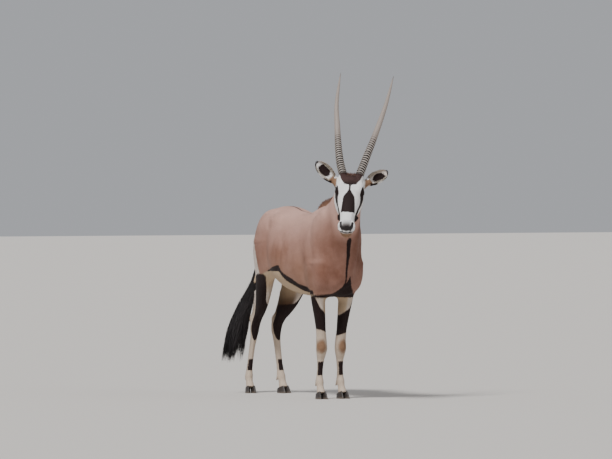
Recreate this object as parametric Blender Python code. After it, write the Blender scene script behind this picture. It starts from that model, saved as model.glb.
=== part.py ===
"""A life-size gemsbok, a large straight-horned antelope, standing with its head turned to its right.

Metres, +Z up. The animal faces -Y, so its left side is at +X. The flesh is one smooth blend of
tapering lofts and muscle masses, meshed region by region and parted with thin plane cuts.
"""

import math
import random

import bmesh
import bpy
import numpy as np
import openvdb
from mathutils import Matrix, Vector

# Driving sizes of the animal, in metres
WITHERS_HEIGHT = 1.20
CHEST_HEIGHT = 0.632
HEAD_LENGTH = 0.400
HORN_LENGTH = 0.82
HORN_BASE_RADIUS = 0.0255
EAR_LENGTH = 0.200
EYE_RADIUS = 0.0205
TAIL_TIP_HEIGHT = 0.20

# How the head is carried, in degrees
HEAD_TURN = 28.0
HEAD_PITCH = 36.0
HEAD_ROLL = 3.5

# Thin parting cuts and the gaps between neighbours
GAP = 0.0003
FAR = 1.0

POLL = Vector((-0.040, -0.672, 1.384))


def head_axes():
    """The head's own axes: down the face, to its left, and out of the forehead."""
    turn = Matrix.Rotation(math.radians(-HEAD_TURN), 3, "Z")
    roll = math.radians(HEAD_ROLL)
    pitch = math.radians(HEAD_PITCH)
    forward = Vector((0, -1, 0))
    up = Vector((math.sin(roll), 0, math.cos(roll)))
    left = Vector((math.cos(roll), 0, -math.sin(roll)))
    down_face = forward * math.sin(pitch) - up * math.cos(pitch)
    out_face = forward * math.cos(pitch) + up * math.sin(pitch)
    return turn @ down_face, turn @ left, turn @ out_face


DOWN_FACE, HEAD_LEFT, OUT_FACE = head_axes()


def on_head(side, down, out):
    """A point given in the head's own axes, from the poll."""
    return POLL + HEAD_LEFT * side + DOWN_FACE * down + OUT_FACE * out


def head_direction(side, down, out):
    return (HEAD_LEFT * side + DOWN_FACE * down + OUT_FACE * out).normalized()


def smooth_through(knots, values, at):
    """A cubic through the knots that never overshoots between them."""
    knots = np.asarray(knots, float)
    values = np.asarray(values, float)
    step = np.diff(knots)
    rise = np.diff(values) / step
    slope = np.zeros_like(values)
    same = rise[:-1] * rise[1:] > 0
    inner = slope[1:-1]
    inner[same] = 2 * rise[:-1][same] * rise[1:][same] / (rise[:-1] + rise[1:])[same]
    slope[0], slope[-1] = rise[0], rise[-1]
    at = np.clip(at, knots[0], knots[-1])
    k = np.clip(np.searchsorted(knots, at, side="right") - 1, 0, len(step) - 1)
    u = (at - knots[k]) / step[k]
    return (
        (1 + 2 * u) * (1 - u) ** 2 * values[k]
        + u * (1 - u) ** 2 * step[k] * slope[k]
        + u * u * (3 - 2 * u) * values[k + 1]
        + u * u * (u - 1) * step[k] * slope[k + 1]
    )


class Loft:
    """An oval section carried along a straight axis, with its centre free to wander.

    Each station is (distance along, centre, half width, half depth, egg), where egg above 0
    makes the section wider on its face side. A power above 2 squares the oval.
    """

    FINE = 240

    def __init__(self, along, side, stations, blend, power=2.0, hollow=False):
        self.along = Vector(along).normalized()
        side = Vector(side)
        self.side = (side - self.along * side.dot(self.along)).normalized()
        self.face = self.along.cross(self.side)
        self.blend, self.power, self.hollow = blend, power, hollow
        rows = [(t, *centre, a, b, egg) for t, centre, a, b, egg in stations]
        rows = np.array(sorted(rows), float)
        self.t = np.linspace(rows[0, 0], rows[-1, 0], self.FINE)
        self.table = np.array(
            [smooth_through(rows[:, 0], rows[:, k], self.t) for k in range(1, 7)]
        )

    def box(self):
        reach = np.maximum(self.table[3], self.table[4]) * 1.15
        low = (self.table[:3] - reach).min(axis=1)
        high = (self.table[:3] + reach).max(axis=1)
        return low, high

    def value(self, x, y, z):
        t = x * self.along.x + y * self.along.y + z * self.along.z
        held = np.clip(t, self.t[0], self.t[-1])
        cx, cy, cz, a, b, egg = (np.interp(held, self.t, row) for row in self.table)
        dx, dy, dz = x - cx, y - cy, z - cz
        s = dx * self.side.x + dy * self.side.y + dz * self.side.z
        f = dx * self.face.x + dy * self.face.y + dz * self.face.z
        f = f / b
        a = a * (1 + egg * np.clip(f, -1, 1))
        s = s / a
        n = self.power
        rho = (np.abs(s) ** n + np.abs(f) ** n) ** (1 / n) + 1e-9
        steep = np.sqrt((s / a) ** 2 + (f / b) ** 2) + 1e-9
        inside = (rho - 1) * np.sqrt(s * s + f * f + 1e-12) / steep
        inside = np.where(rho < 0.3, -0.7 * np.minimum(a, b), inside)
        past = np.abs(t - held)
        within = np.minimum(t - self.t[0], self.t[-1] - t)
        return np.where(
            past > 0,
            np.hypot(np.maximum(inside, 0), past),
            np.maximum(inside, -within),
        )


class Mass:
    """A muscle or bone bulge: an ellipsoid with its own axes."""

    def __init__(self, centre, radii, blend, axes=None, hollow=False):
        self.centre, self.radii, self.blend, self.hollow = centre, radii, blend, hollow
        self.axes = [Vector(v) for v in (axes or ((1, 0, 0), (0, 1, 0), (0, 0, 1)))]

    def box(self):
        reach = max(self.radii)
        centre = np.array(self.centre, float)
        return centre - reach, centre + reach

    def value(self, x, y, z):
        dx, dy, dz = x - self.centre[0], y - self.centre[1], z - self.centre[2]
        near, slope = 0.0, 0.0
        for axis, radius in zip(self.axes, self.radii):
            q = (dx * axis.x + dy * axis.y + dz * axis.z) / radius
            near = near + q * q
            slope = slope + (q / radius) ** 2
        near = np.sqrt(near) + 1e-9
        return near * (near - 1) / (np.sqrt(slope) + 1e-9)


class Cord:
    """A round tapering stretch between two points, for tendons, ridges, folds and grooves."""

    def __init__(self, start, end, r_start, r_end, blend, hollow=False):
        self.start, self.end = Vector(start), Vector(end)
        self.r_start, self.r_end = r_start, r_end
        self.blend, self.hollow = blend, hollow

    def box(self):
        reach = max(self.r_start, self.r_end)
        ends = np.array([self.start, self.end], float)
        return ends.min(axis=0) - reach, ends.max(axis=0) + reach

    def value(self, x, y, z):
        run = self.end - self.start
        dx, dy, dz = x - self.start.x, y - self.start.y, z - self.start.z
        u = (dx * run.x + dy * run.y + dz * run.z) / run.length_squared
        u = np.clip(u, 0, 1)
        gap = np.sqrt(
            (dx - u * run.x) ** 2 + (dy - u * run.y) ** 2 + (dz - u * run.z) ** 2
        )
        return gap - (self.r_start + (self.r_end - self.r_start) * u)


def tilted(about_x):
    """Ellipsoid axes leaned about the sideways axis, in degrees."""
    turn = Matrix.Rotation(math.radians(about_x), 3, "X")
    return [turn @ Vector(v) for v in ((1, 0, 0), (0, 1, 0), (0, 0, 1))]


def trunk():
    """Ribs, belly and croup: stations along the spine as (y, top, bottom, half width, egg)."""
    profile = (
        (-0.515, 0.960, 0.835, 0.045, 0.00),
        (-0.490, 1.040, 0.755, 0.085, 0.00),
        (-0.430, 1.120, 0.680, 0.120, 0.00),
        (-0.330, 1.170, CHEST_HEIGHT, 0.145, -0.06),
        (-0.200, 1.168, 0.628, 0.178, -0.10),
        (-0.060, 1.152, 0.634, 0.196, -0.12),
        (0.080, 1.160, 0.648, 0.206, -0.12),
        (0.200, 1.180, 0.680, 0.200, -0.10),
        (0.310, 1.184, 0.728, 0.170, -0.04),
        (0.420, 1.170, 0.775, 0.142, 0.02),
        (0.510, 1.128, 0.810, 0.114, 0.05),
        (0.575, 1.070, 0.850, 0.078, 0.00),
        (0.605, 1.010, 0.900, 0.040, 0.00),
    )
    stations = [
        (y, (0, y, (top + bottom) / 2), width, (top - bottom) / 2, -egg)
        for y, top, bottom, width, egg in profile
    ]
    return Loft((0, 1, 0), (1, 0, 0), stations, blend=0.0, power=2.25)


def body_masses():
    """Withers, shoulders, breast, haunches and the bones that show through the hide."""
    shapes = [
        Mass((0, -0.285, WITHERS_HEIGHT - 0.100), (0.056, 0.150, 0.093), 0.06, tilted(8)),
        Mass((0, -0.470, 0.800), (0.075, 0.072, 0.105), 0.06, tilted(-12)),
        Mass((0, 0.330, 1.112), (0.070, 0.190, 0.070), 0.04),
    ]
    for side in (-1, 1):
        shapes += [
            Mass((side * 0.104, -0.335, 0.935), (0.056, 0.100, 0.225), 0.05, tilted(16)),
            Mass((side * 0.110, -0.375, 0.800), (0.060, 0.095, 0.125), 0.04, tilted(-20)),
            Mass((side * 0.055, -0.400, 0.712), (0.056, 0.080, 0.062), 0.06),
            Mass((side * 0.094, 0.385, 0.985), (0.084, 0.155, 0.180), 0.05, tilted(14)),
            Mass((side * 0.080, 0.515, 0.920), (0.060, 0.085, 0.140), 0.05, tilted(12)),
            Mass((side * 0.118, 0.225, 1.095), (0.036, 0.048, 0.032), 0.05),
            Mass((side * 0.114, 0.310, 0.845), (0.046, 0.062, 0.100), 0.05, tilted(-14)),
            Mass((side * 0.206, -0.225, 0.840), (0.022, 0.034, 0.150), 0.05, hollow=True),
        ]
    return shapes


def neck():
    """A deep muscular neck that swings to the animal's right as it rises to the head."""
    foot, top = Vector((0, -0.300, 0.900)), Vector((-0.040, -0.640, 1.268))
    along = (top - foot).normalized()
    start = foot.dot(along)
    length = (top - foot).length
    shape = (
        (-0.20, 0.045, 0.075, 0.00),
        (-0.08, 0.100, 0.155, 0.00),
        (0.00, 0.134, 0.204, 0.00),
        (0.12, 0.126, 0.196, 0.00),
        (0.25, 0.108, 0.170, 0.00),
        (0.36, 0.092, 0.137, 0.00),
        (0.45, 0.080, 0.110, 0.00),
        (0.52, 0.070, 0.096, 0.00),
    )
    bow = Vector((0.012, 0.0, 0.0))
    stations = [
        (
            start + t,
            foot + along * t + bow * math.sin(math.pi * t / length),
            width,
            depth,
            egg,
        )
        for t, width, depth, egg in shape
    ]
    return Loft(along, (1, 0, 0), stations, blend=0.075, power=2.1)


def foreleg(side, foot_back, toe_out):
    """Forearm, knee, cannon, fetlock and pastern: (height, sideways, back, half width, half depth)."""
    profile = (
        (0.840, 0.112, -0.350, 0.052, 0.090),
        (0.720, 0.104, -0.325, 0.050, 0.083),
        (0.660, 0.098, -0.316, 0.046, 0.070),
        (0.600, 0.092, -0.312, 0.041, 0.058),
        (0.500, 0.080, -0.309, 0.034, 0.045),
        (0.415, 0.071, -0.306, 0.0305, 0.0375),
        (0.360, 0.067, -0.304, 0.0335, 0.0375),
        (0.318, 0.066, -0.305, 0.0360, 0.0400),
        (0.275, 0.067, -0.300, 0.0295, 0.0335),
        (0.240, 0.068, -0.294, 0.0220, 0.0275),
        (0.180, 0.071, -0.291, 0.0180, 0.0245),
        (0.140, 0.073, -0.289, 0.0198, 0.0262),
        (0.106, 0.074, -0.291, 0.0258, 0.0325),
        (0.078, 0.075, -0.302, 0.0225, 0.0265),
        (0.052, 0.076, -0.314, 0.0255, 0.0305),
        (0.024, 0.076, -0.324, 0.0275, 0.0335),
    )
    return leg_shapes(side, profile, foot_back, toe_out, top=0.66, blend=0.045)


def hindleg(side, foot_back, toe_out):
    """Thigh, gaskin, hock, cannon, fetlock and pastern, in the same order of sizes."""
    profile = (
        (0.960, 0.092, 0.420, 0.066, 0.140),
        (0.880, 0.100, 0.425, 0.070, 0.146),
        (0.800, 0.106, 0.436, 0.066, 0.136),
        (0.740, 0.105, 0.443, 0.060, 0.126),
        (0.680, 0.100, 0.464, 0.052, 0.114),
        (0.620, 0.092, 0.494, 0.0445, 0.100),
        (0.560, 0.082, 0.533, 0.0370, 0.086),
        (0.510, 0.073, 0.578, 0.0315, 0.069),
        (0.470, 0.067, 0.624, 0.0290, 0.052),
        (0.430, 0.064, 0.656, 0.0290, 0.0440),
        (0.390, 0.064, 0.667, 0.0265, 0.0370),
        (0.350, 0.067, 0.670, 0.0225, 0.0295),
        (0.290, 0.074, 0.673, 0.0190, 0.0258),
        (0.200, 0.083, 0.673, 0.0184, 0.0245),
        (0.145, 0.089, 0.671, 0.0208, 0.0268),
        (0.106, 0.092, 0.668, 0.0262, 0.0325),
        (0.078, 0.094, 0.656, 0.0230, 0.0272),
        (0.052, 0.095, 0.644, 0.0262, 0.0310),
        (0.024, 0.095, 0.634, 0.0280, 0.0340),
    )
    shapes = leg_shapes(side, profile, foot_back, toe_out, top=0.80, blend=0.06)
    return shapes


def leg_sway(height, top, foot_back):
    """How far back a leg's point is swung, from none at the top to all of it at the fetlock."""
    share = min(max((top - height) / (top - 0.10), 0.0), 1.0)
    return foot_back * share


def leg_shapes(side, profile, foot_back, toe_out, top, blend):
    """The loft of one leg, and the dewclaws at the back of its fetlock."""
    turn = Matrix.Rotation(math.radians(side * toe_out), 3, "Z")
    stations = [
        (z, (side * x, y + leg_sway(z, top, foot_back), z), width, depth, 0.0)
        for z, x, y, width, depth in profile
    ]
    shapes = [Loft((0, 0, 1), turn @ Vector((1, 0, 0)), stations, blend=blend)]
    fetlock = next(row for row in profile if row[0] == 0.106)
    heel = Vector((side * fetlock[1], fetlock[2] + foot_back, 0.098))
    for out in (-1, 1):
        root = heel + turn @ Vector((out * 0.012, 0.018, 0.0))
        tip = heel + turn @ Vector((out * 0.014, 0.027, -0.013))
        shapes.append(Cord(root, tip, 0.0100, 0.0070, 0.008))
    return shapes


def hock_point(side, foot_back):
    """The heel bone at the back of the hock, and the tendon that runs up to it."""
    sway = leg_sway(0.46, 0.80, foot_back)
    heel = Vector((side * 0.067, 0.684 + sway, 0.472))
    return [
        Cord(heel, (side * 0.066, 0.672 + sway, 0.400), 0.0185, 0.0165, 0.022),
        Cord(heel, (side * 0.086, 0.585 + sway * 0.6, 0.640), 0.0125, 0.0200, 0.040),
    ]


LEGS = {
    "fore_right": (foreleg, -1, 0.000, 4),
    "fore_left": (foreleg, 1, 0.012, 4),
    "hind_right": (hindleg, -1, 0.060, 14),
    "hind_left": (hindleg, 1, -0.030, 14),
}


def skull():
    """The long straight head: (down the face, face line, jaw line, half width, egg)."""
    profile = (
        (-0.045, -0.080, -0.132, 0.040, 0.0),
        (-0.020, -0.038, -0.160, 0.058, 0.0),
        (0.015, -0.008, -0.182, 0.070, 0.06),
        (0.055, 0.004, -0.188, 0.074, 0.12),
        (0.100, 0.006, -0.182, 0.074, 0.16),
        (0.140, 0.003, -0.166, 0.068, 0.16),
        (0.185, 0.000, -0.148, 0.0600, 0.14),
        (0.235, -0.003, -0.129, 0.0520, 0.08),
        (0.285, -0.004, -0.114, 0.0455, 0.02),
        (0.325, -0.005, -0.106, 0.0440, 0.00),
        (0.355, -0.008, -0.102, 0.0440, 0.00),
        (0.378, -0.016, -0.098, 0.0390, 0.00),
        (0.391, -0.028, -0.090, 0.0280, 0.00),
        (HEAD_LENGTH, -0.042, -0.076, 0.0120, 0.00),
    )
    start = POLL.dot(DOWN_FACE)
    stations = [
        (start + s, on_head(0, s, (top + low) / 2), width, (top - low) / 2, egg)
        for s, top, low, width, egg in profile
    ]
    return Loft(DOWN_FACE, HEAD_LEFT, stations, blend=0.045, power=2.35)


HEAD_FRAME = (HEAD_LEFT, DOWN_FACE, OUT_FACE)
EYE_PLACE = (0.0680, 0.088, -0.042)
MUZZLE_HEART = (0.0, 0.345, -0.055)
NOSTRIL_WAYS = ((0.85, 0.10, 0.80), (0.78, 0.55, 0.55), (0.42, 0.88, 0.30))
MOUTH_HEART = (0.0, 0.325, -0.068)
LIP_WAYS = (
    (1.00, -0.75, -0.22),
    (1.00, -0.10, -0.12),
    (0.90, 0.50, 0.08),
    (0.62, 0.85, 0.24),
    (0.30, 0.98, 0.32),
    (0.00, 1.00, 0.34),
)


def head_masses():
    """Brows, cheeks, nose, lips and chin over the skull, then the nostrils and mouth cut in."""

    def lump(side, down, out, radii, blend, hollow=False):
        return Mass(on_head(side, down, out), radii, blend, HEAD_FRAME, hollow)

    shapes = [
        lump(0, 0.020, -0.034, (0.050, 0.046, 0.036), 0.03),
        lump(0, 0.366, -0.086, (0.029, 0.028, 0.017), 0.012),
        lump(0, 0.250, -0.012, (0.026, 0.100, 0.010), 0.02),
        lump(0, 0.362, -0.030, (0.028, 0.028, 0.022), 0.014),
    ]
    for side in (-1, 1):
        shapes += [
            lump(side * 0.055, 0.066, -0.024, (0.027, 0.044, 0.025), 0.022),
            lump(side * 0.056, 0.094, -0.050, (0.023, 0.038, 0.027), 0.018),
            lump(side * 0.047, 0.078, -0.122, (0.030, 0.072, 0.056), 0.03),
            lump(side * 0.041, 0.170, -0.064, (0.020, 0.070, 0.024), 0.03),
            lump(side * 0.034, 0.350, -0.034, (0.020, 0.028, 0.022), 0.014),
            lump(side * 0.024, 0.366, -0.049, (0.026, 0.027, 0.016), 0.010),
            lump(side * 0.052, -0.004, -0.075, (0.036, 0.044, 0.044), 0.03),
        ]
    solid = [skull(), *shapes]
    for side in (-1, 1):
        wing = on_muzzle(solid, MUZZLE_HEART, NOSTRIL_WAYS, side, 0.001)
        shapes.append(Cord(wing[0], wing[1], 0.0030, 0.0062, 0.003, hollow=True))
        shapes.append(Cord(wing[1], wing[2], 0.0062, 0.0034, 0.003, hollow=True))
        lips = on_muzzle(solid, MOUTH_HEART, LIP_WAYS, side, 0.0)
        for start, end in zip(lips[:-1], lips[1:]):
            shapes.append(Cord(start, end, 0.0030, 0.0030, 0.003, hollow=True))
    return shapes


def on_muzzle(solid, heart, ways, side, sunk):
    """Points on the muzzle's skin, seen from a point within it, sunk in a little."""
    inside = on_head(*heart)
    points = []
    for across, down, out in ways:
        toward = head_direction(side * across, down, out)
        points.append(surface_from(solid, inside, toward) - toward * sunk)
    return points


def eye_centre(name):
    side, down, out = EYE_PLACE
    return on_head(-side if name == "right" else side, down, out)


def pedicels():
    """The two stout stumps of the skull that carry the horns."""
    shapes = []
    for name, side in (("right", -1), ("left", 1)):
        point, along, across = horn_foot(name)
        inside = on_head(side * 0.036, 0.035, -0.045)
        shapes.append(Cord(inside, point + along * 0.012, 0.0270, 0.0262, 0.012))
    return shapes


def eye_sockets():
    """Lids: a rounded bulge over each eyeball, opened by an almond slit along the face."""
    shapes = []
    for name, side in (("right", -1), ("left", 1)):
        centre = eye_centre(name)
        lid = EYE_RADIUS + 0.0036
        outward = head_direction(side, 0.10, 0.42)
        shapes.append(Mass(centre, (lid, lid, lid), 0.012))
        long_axis = head_direction(0, 1.0, -0.25)
        long_axis = (long_axis - outward * long_axis.dot(outward)).normalized()
        axes = (outward, long_axis, outward.cross(long_axis))
        slit = centre + outward * (EYE_RADIUS * 0.92)
        shapes.append(Mass(slit, (0.0150, 0.0192, 0.0118), 0.002, axes, hollow=True))
    return shapes


EARS = {
    "right": ((-0.084, 0.012, -0.074), (-0.690, -0.700, 0.100)),
    "left": ((0.084, 0.006, -0.074), (0.664, -0.718, -0.210)),
}


def ear_root(name):
    """An ear's root, the way it points, and the way across its cup."""
    base, lean = EARS[name]
    along = head_direction(*lean)
    toward = head_direction(0, 0.25, 1.0)
    front = (toward - along * toward.dot(along)).normalized()
    return on_head(*base), along, along.cross(front)


def ear_block(name):
    """Everything of an ear beyond the flat at its root."""
    root, along, across = ear_root(name)
    side = -1 if name == "right" else 1
    beside_horn = on_head(side * 0.072, -0.002, -0.048)
    clear_of_horn = (beside_horn, head_direction(-side * 0.741, 0, 0.671))
    return planes_about(root + along * 0.020, along, across, 0.062) + [clear_of_horn]


def ear_shapes(name):
    """A long leaf of an ear, its cup open to the front, on a round muscular root."""
    root, along, across = ear_root(name)
    front = across.cross(along)
    shape = (
        (-0.030, 0.021, 0.021, 0.000),
        (0.015, 0.020, 0.020, 0.000),
        (0.040, 0.028, 0.025, 0.000),
        (0.075, 0.0395, 0.033, 0.002),
        (0.110, 0.0435, 0.035, 0.003),
        (0.145, 0.0395, 0.030, 0.003),
        (0.175, 0.0285, 0.021, 0.002),
        (0.192, 0.0150, 0.012, 0.000),
        (EAR_LENGTH, 0.0040, 0.005, 0.000),
    )
    start = root.dot(along)

    def leaf(shrink, forward, blend, hollow, first=0):
        stations = [
            (
                start + t,
                root + along * t + front * (lift + forward),
                max(width - shrink, 0.002),
                max(depth - shrink * 0.5, 0.002),
                0.0,
            )
            for t, width, depth, lift in shape[first:]
        ]
        return Loft(along, across, stations, blend, hollow=hollow)

    return [
        leaf(0.0, 0.0, 0.022, False),
        leaf(0.0056, 0.0085, 0.003, True, first=2),
    ]


def tail_dock():
    """The fleshy tail, hanging from the croup and swung a little to the animal's right."""
    profile = (
        (1.120, 0.000, 0.500, 0.030, 0.040),
        (1.050, 0.000, 0.606, 0.027, 0.032),
        (0.970, -0.008, 0.665, 0.020, 0.022),
        (0.870, -0.024, 0.692, 0.0165, 0.0175),
        (0.780, -0.040, 0.705, 0.0145, 0.0150),
        (0.700, -0.058, 0.714, 0.0130, 0.0135),
    )
    stations = [(z, (x, y, z), a, b, 0.0) for z, x, y, a, b in profile]
    return Loft((0, 0, 1), (1, 0, 0), stations, blend=0.035)


def flesh():
    """Every shape of the animal's hide, in the order in which they blend."""
    shapes = [trunk(), *body_masses(), neck()]
    for build, side, foot_back, toe_out in LEGS.values():
        shapes += build(side, foot_back, toe_out)
        if build is hindleg:
            shapes += hock_point(side, foot_back)
    shapes += [tail_dock(), skull(), *head_masses(), *pedicels()]
    for name in EARS:
        shapes += ear_shapes(name)
    shapes += eye_sockets()
    return shapes


def surface_from(shapes, inside, toward, reach=0.35):
    """Where a ray from a point inside the flesh comes out through the hide."""
    steps = np.linspace(0, reach, 700)
    spots = [inside[k] + toward[k] * steps for k in range(3)]
    near = np.full(len(steps), FAR)
    for shape in shapes:
        near = blended(near, shape, shape.value(*spots))
    out = int(np.argmax(near > 0))
    share = near[out - 1] / (near[out - 1] - near[out])
    at = steps[out - 1] + share * (steps[1] - steps[0])
    return Vector(inside) + Vector(toward) * float(at)


def blended(near, shape, value):
    """Add one shape to a field, or hollow it out, with a soft crease of its blend."""
    k = max(shape.blend, 1e-4)
    if shape.hollow:
        soft = np.maximum(k - np.abs(near + value), 0) / k
        return np.maximum(near, -value) + soft * soft * k / 4
    soft = np.maximum(k - np.abs(near - value), 0) / k
    return np.minimum(near, value) - soft * soft * k / 4


def field_of(shapes, axes):
    """Signed distance, negative inside, of the blended shapes on a grid of these axes."""
    near = np.full([len(a) for a in axes], FAR)
    for shape in shapes:
        low, high = shape.box()
        margin = 2.0 * shape.blend + 0.03
        cells = [
            slice(*np.searchsorted(a, (lo - margin, hi + margin)))
            for a, lo, hi in zip(axes, low, high)
        ]
        if any(c.start >= c.stop for c in cells):
            continue
        spots = np.meshgrid(*(a[c] for a, c in zip(axes, cells)), indexing="ij")
        here = near[tuple(cells)]
        near[tuple(cells)] = blended(here, shape, shape.value(*spots))
    return near


def link(name, mesh):
    obj = bpy.data.objects.new(name, mesh)
    bpy.context.scene.collection.objects.link(obj)
    return obj


def discard(*objects):
    for obj in objects:
        bpy.data.objects.remove(obj)


def settle(obj):
    """Turn an object's modifiers into its own mesh."""
    ready = bpy.context.evaluated_depsgraph_get()
    mesh = bpy.data.meshes.new_from_object(obj.evaluated_get(ready))
    obj.modifiers.clear()
    obj.data = mesh
    return obj


def boolean(obj, operation, other, solver="EXACT"):
    """Join to, keep within or cut away another object or a collection, at once."""
    step = obj.modifiers.new("step", "BOOLEAN")
    step.operation, step.solver = operation, solver
    if isinstance(other, bpy.types.Collection):
        step.operand_type, step.collection = "COLLECTION", other
    else:
        step.object = other
    return settle(obj)


def largest_piece(obj):
    """Keep the largest closed surface, facing outward, and close up stray points."""
    bm = bmesh.new()
    bm.from_mesh(obj.data)
    bmesh.ops.remove_doubles(bm, verts=bm.verts, dist=2e-6)
    bmesh.ops.dissolve_degenerate(bm, dist=2e-6, edges=bm.edges)
    left = set(bm.faces)
    pieces = []
    while left:
        front = [left.pop()]
        piece = list(front)
        while front:
            face = front.pop()
            for edge in face.edges:
                for other in edge.link_faces:
                    if other in left:
                        left.discard(other)
                        front.append(other)
                        piece.append(other)
        pieces.append(piece)
    pieces.sort(key=len)
    for piece in pieces[:-1]:
        bmesh.ops.delete(bm, geom=piece, context="FACES")
    loose = [v for v in bm.verts if not v.link_faces]
    bmesh.ops.delete(bm, geom=loose, context="VERTS")
    bmesh.ops.recalc_face_normals(bm, faces=bm.faces)
    if bm.calc_volume(signed=True) < 0:
        bmesh.ops.reverse_faces(bm, faces=bm.faces)
    bm.to_mesh(obj.data)
    bm.free()
    return obj


def mesh_of(name, shapes, low, high, cell, triangles):
    """A closed mesh of the blended shapes inside a box, thinned to a number of triangles."""
    axes = [np.arange(lo, hi + cell, cell) for lo, hi in zip(low, high)]
    near = field_of(shapes, axes)
    for axis in range(3):
        for wall in (0, -1):
            face = [slice(None)] * 3
            face[axis] = wall
            near[tuple(face)] = np.maximum(near[tuple(face)], cell)
    grid = openvdb.FloatGrid(FAR)
    grid.copyFromArray(near.astype(np.float32))
    points, quads = grid.convertToQuads(0.0)
    points = points * cell + np.array(low)
    mesh = bpy.data.meshes.new(name)
    mesh.from_pydata(points.tolist(), [], quads.tolist())
    obj = largest_piece(link(name, mesh))
    thin = obj.modifiers.new("thin", "DECIMATE")
    thin.ratio = min(1.0, triangles / (2 * len(quads)))
    thin.use_collapse_triangulate = True
    return settle(obj)


def block(planes, grow):
    """A convex block bounded by planes (point, outward direction), each moved out by grow."""
    mesh = bpy.data.meshes.new("block")
    bm = bmesh.new()
    bmesh.ops.create_cube(bm, size=4.0)
    for point, outward in planes:
        outward = Vector(outward).normalized()
        cut = bmesh.ops.bisect_plane(
            bm,
            geom=bm.verts[:] + bm.edges[:] + bm.faces[:],
            plane_co=Vector(point) + outward * grow,
            plane_no=outward,
            clear_outer=True,
        )
        rim = [e for e in cut["geom_cut"] if isinstance(e, bmesh.types.BMEdge)]
        if rim:
            bmesh.ops.edgeloop_fill(bm, edges=rim)
    bmesh.ops.recalc_face_normals(bm, faces=bm.faces)
    bm.to_mesh(mesh)
    bm.free()
    return link("block", mesh)


def within(obj, planes):
    """Keep what lies inside the planes, short of them by half the gap."""
    tool = block(planes, -GAP / 2)
    boolean(obj, "INTERSECT", tool)
    discard(tool)
    return obj


def without(obj, planes):
    """Cut away what lies inside the planes, and half the gap beyond them."""
    tool = block(planes, GAP / 2)
    boolean(obj, "DIFFERENCE", tool)
    discard(tool)
    return obj


def finish(obj, material):
    largest_piece(obj)
    obj.data.materials.clear()
    obj.data.materials.append(material)
    obj.data.shade_smooth()
    obj.data.set_sharp_from_angle(angle=math.radians(38))
    return obj


def paint(name, colour, roughness):
    material = bpy.data.materials.new(name)
    material.use_nodes = True
    shader = material.node_tree.nodes["Principled BSDF"]
    shader.inputs["Base Color"].default_value = (*colour, 1)
    shader.inputs["Roughness"].default_value = roughness
    shader.inputs["Metallic"].default_value = 0
    return material


def planes_about(point, along, across, reach):
    """A square column about an axis, open forward from a flat at its foot."""
    up = along.cross(across)
    sides = [across, -across, up, -up]
    return [(point, -along)] + [(point + side * reach, side) for side in sides]


NECK_BLOCK = [((0, -0.36, 1.22), (0, 0.90, -0.435))]
HEAD_BLOCK = [(on_head(0, -0.030, -0.145), -head_direction(0, 0.474, 0.88))]
TAIL_BLOCK = [((0, 0.642, 1.010), (0, -0.55, 0.835)), ((0, 0.640, 0.9), (0, -1, 0.06))]
TUFT_TOP = [((-0.038, 0.704, 0.790), (-0.15, 0.10, 0.98))]


def leg_block(name):
    """Below a slanting cut high on the leg, on the leg's own side of the body."""
    side = LEGS[name][1]
    if "fore" in name:
        cut = ((side * 0.10, 0, 0.6225), (-side * 0.53, 0, 0.848))
        return [cut, ((side * 0.012, 0, 0), (-side, 0, 0)), ((0, 0.02, 0), (0, 1, 0))]
    cut = ((side * 0.10, 0.30, 0.737), (-side * 0.57, -0.347, 0.743))
    return [cut, ((side * 0.006, 0, 0), (-side, 0, 0)), ((0, 0.02, 0), (0, -1, 0))]


def foot_of(name):
    """The middle of a foot's sole, and the way its toes point."""
    build, side, foot_back, toe_out = LEGS[name]
    x, y = (0.076, -0.324) if build is foreleg else (0.095, 0.634)
    turn = Matrix.Rotation(math.radians(side * toe_out), 3, "Z")
    return Vector((side * x, y + foot_back, 0)), turn @ Vector((0, -1, 0))


CORONET_FRONT, CORONET_BACK = 0.054, 0.030


def coronet_plane(name):
    """The slanting plane where hair ends and hoof begins."""
    foot, toes = foot_of(name)
    rise = (CORONET_FRONT - CORONET_BACK) / 0.065
    middle = foot + Vector((0, 0, (CORONET_FRONT + CORONET_BACK) / 2))
    return middle, (Vector((0, 0, 1)) - toes * rise).normalized()


def hoof(name, foot_name, half):
    """One claw of a cloven hoof: flat sole, flat inner wall, pointed toe, slanting top."""
    foot, toes = foot_of(foot_name)
    across = toes.cross(Vector((0, 0, 1))) * half
    middle, normal = coronet_plane(foot_name)
    levels = 4
    points = 14
    bm = bmesh.new()
    rings = []
    for level in range(levels):
        up = level / (levels - 1)
        length = 0.0445 - 0.0125 * up
        width = 0.0330 - 0.0045 * up
        back = 0.0030 - 0.0130 * up
        ring = []
        for k in range(points):
            turn = 2 * math.pi * k / points
            ahead = math.cos(turn)
            out = math.sin(turn)
            taper = 1.0 - 0.42 * max(ahead, 0) ** 2
            along = length * ahead + back
            wide = 0.5 * width * (1 + out * taper)
            toe_in = 0.0022 + 0.0030 * max(along, 0) / length
            spot = foot + toes * along + across * (wide + toe_in)
            top = middle.z - ((spot - middle).xy.dot(normal.xy)) / normal.z
            spot.z = (top - GAP) * up
            ring.append(bm.verts.new(spot))
        rings.append(ring)
    for lower, upper in zip(rings[:-1], rings[1:]):
        for k in range(points):
            j = (k + 1) % points
            bm.faces.new((lower[k], lower[j], upper[j], upper[k]))
    bm.faces.new(rings[0][::-1])
    bm.faces.new(rings[-1])
    mesh = bpy.data.meshes.new(name)
    bm.to_mesh(mesh)
    bm.free()
    return link(name, mesh)


HORNS = {
    "right": (-0.050, -0.081, -0.111, -0.133, -0.128),
    "left": (0.050, 0.078, 0.129, 0.175, 0.203),
}
HORN_SHARES = (0.0, 0.15, 0.42, 0.72, 1.0)
HORN_FOOT = -0.022
RINGS = 19
RINGED_SHARE = 0.40


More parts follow.
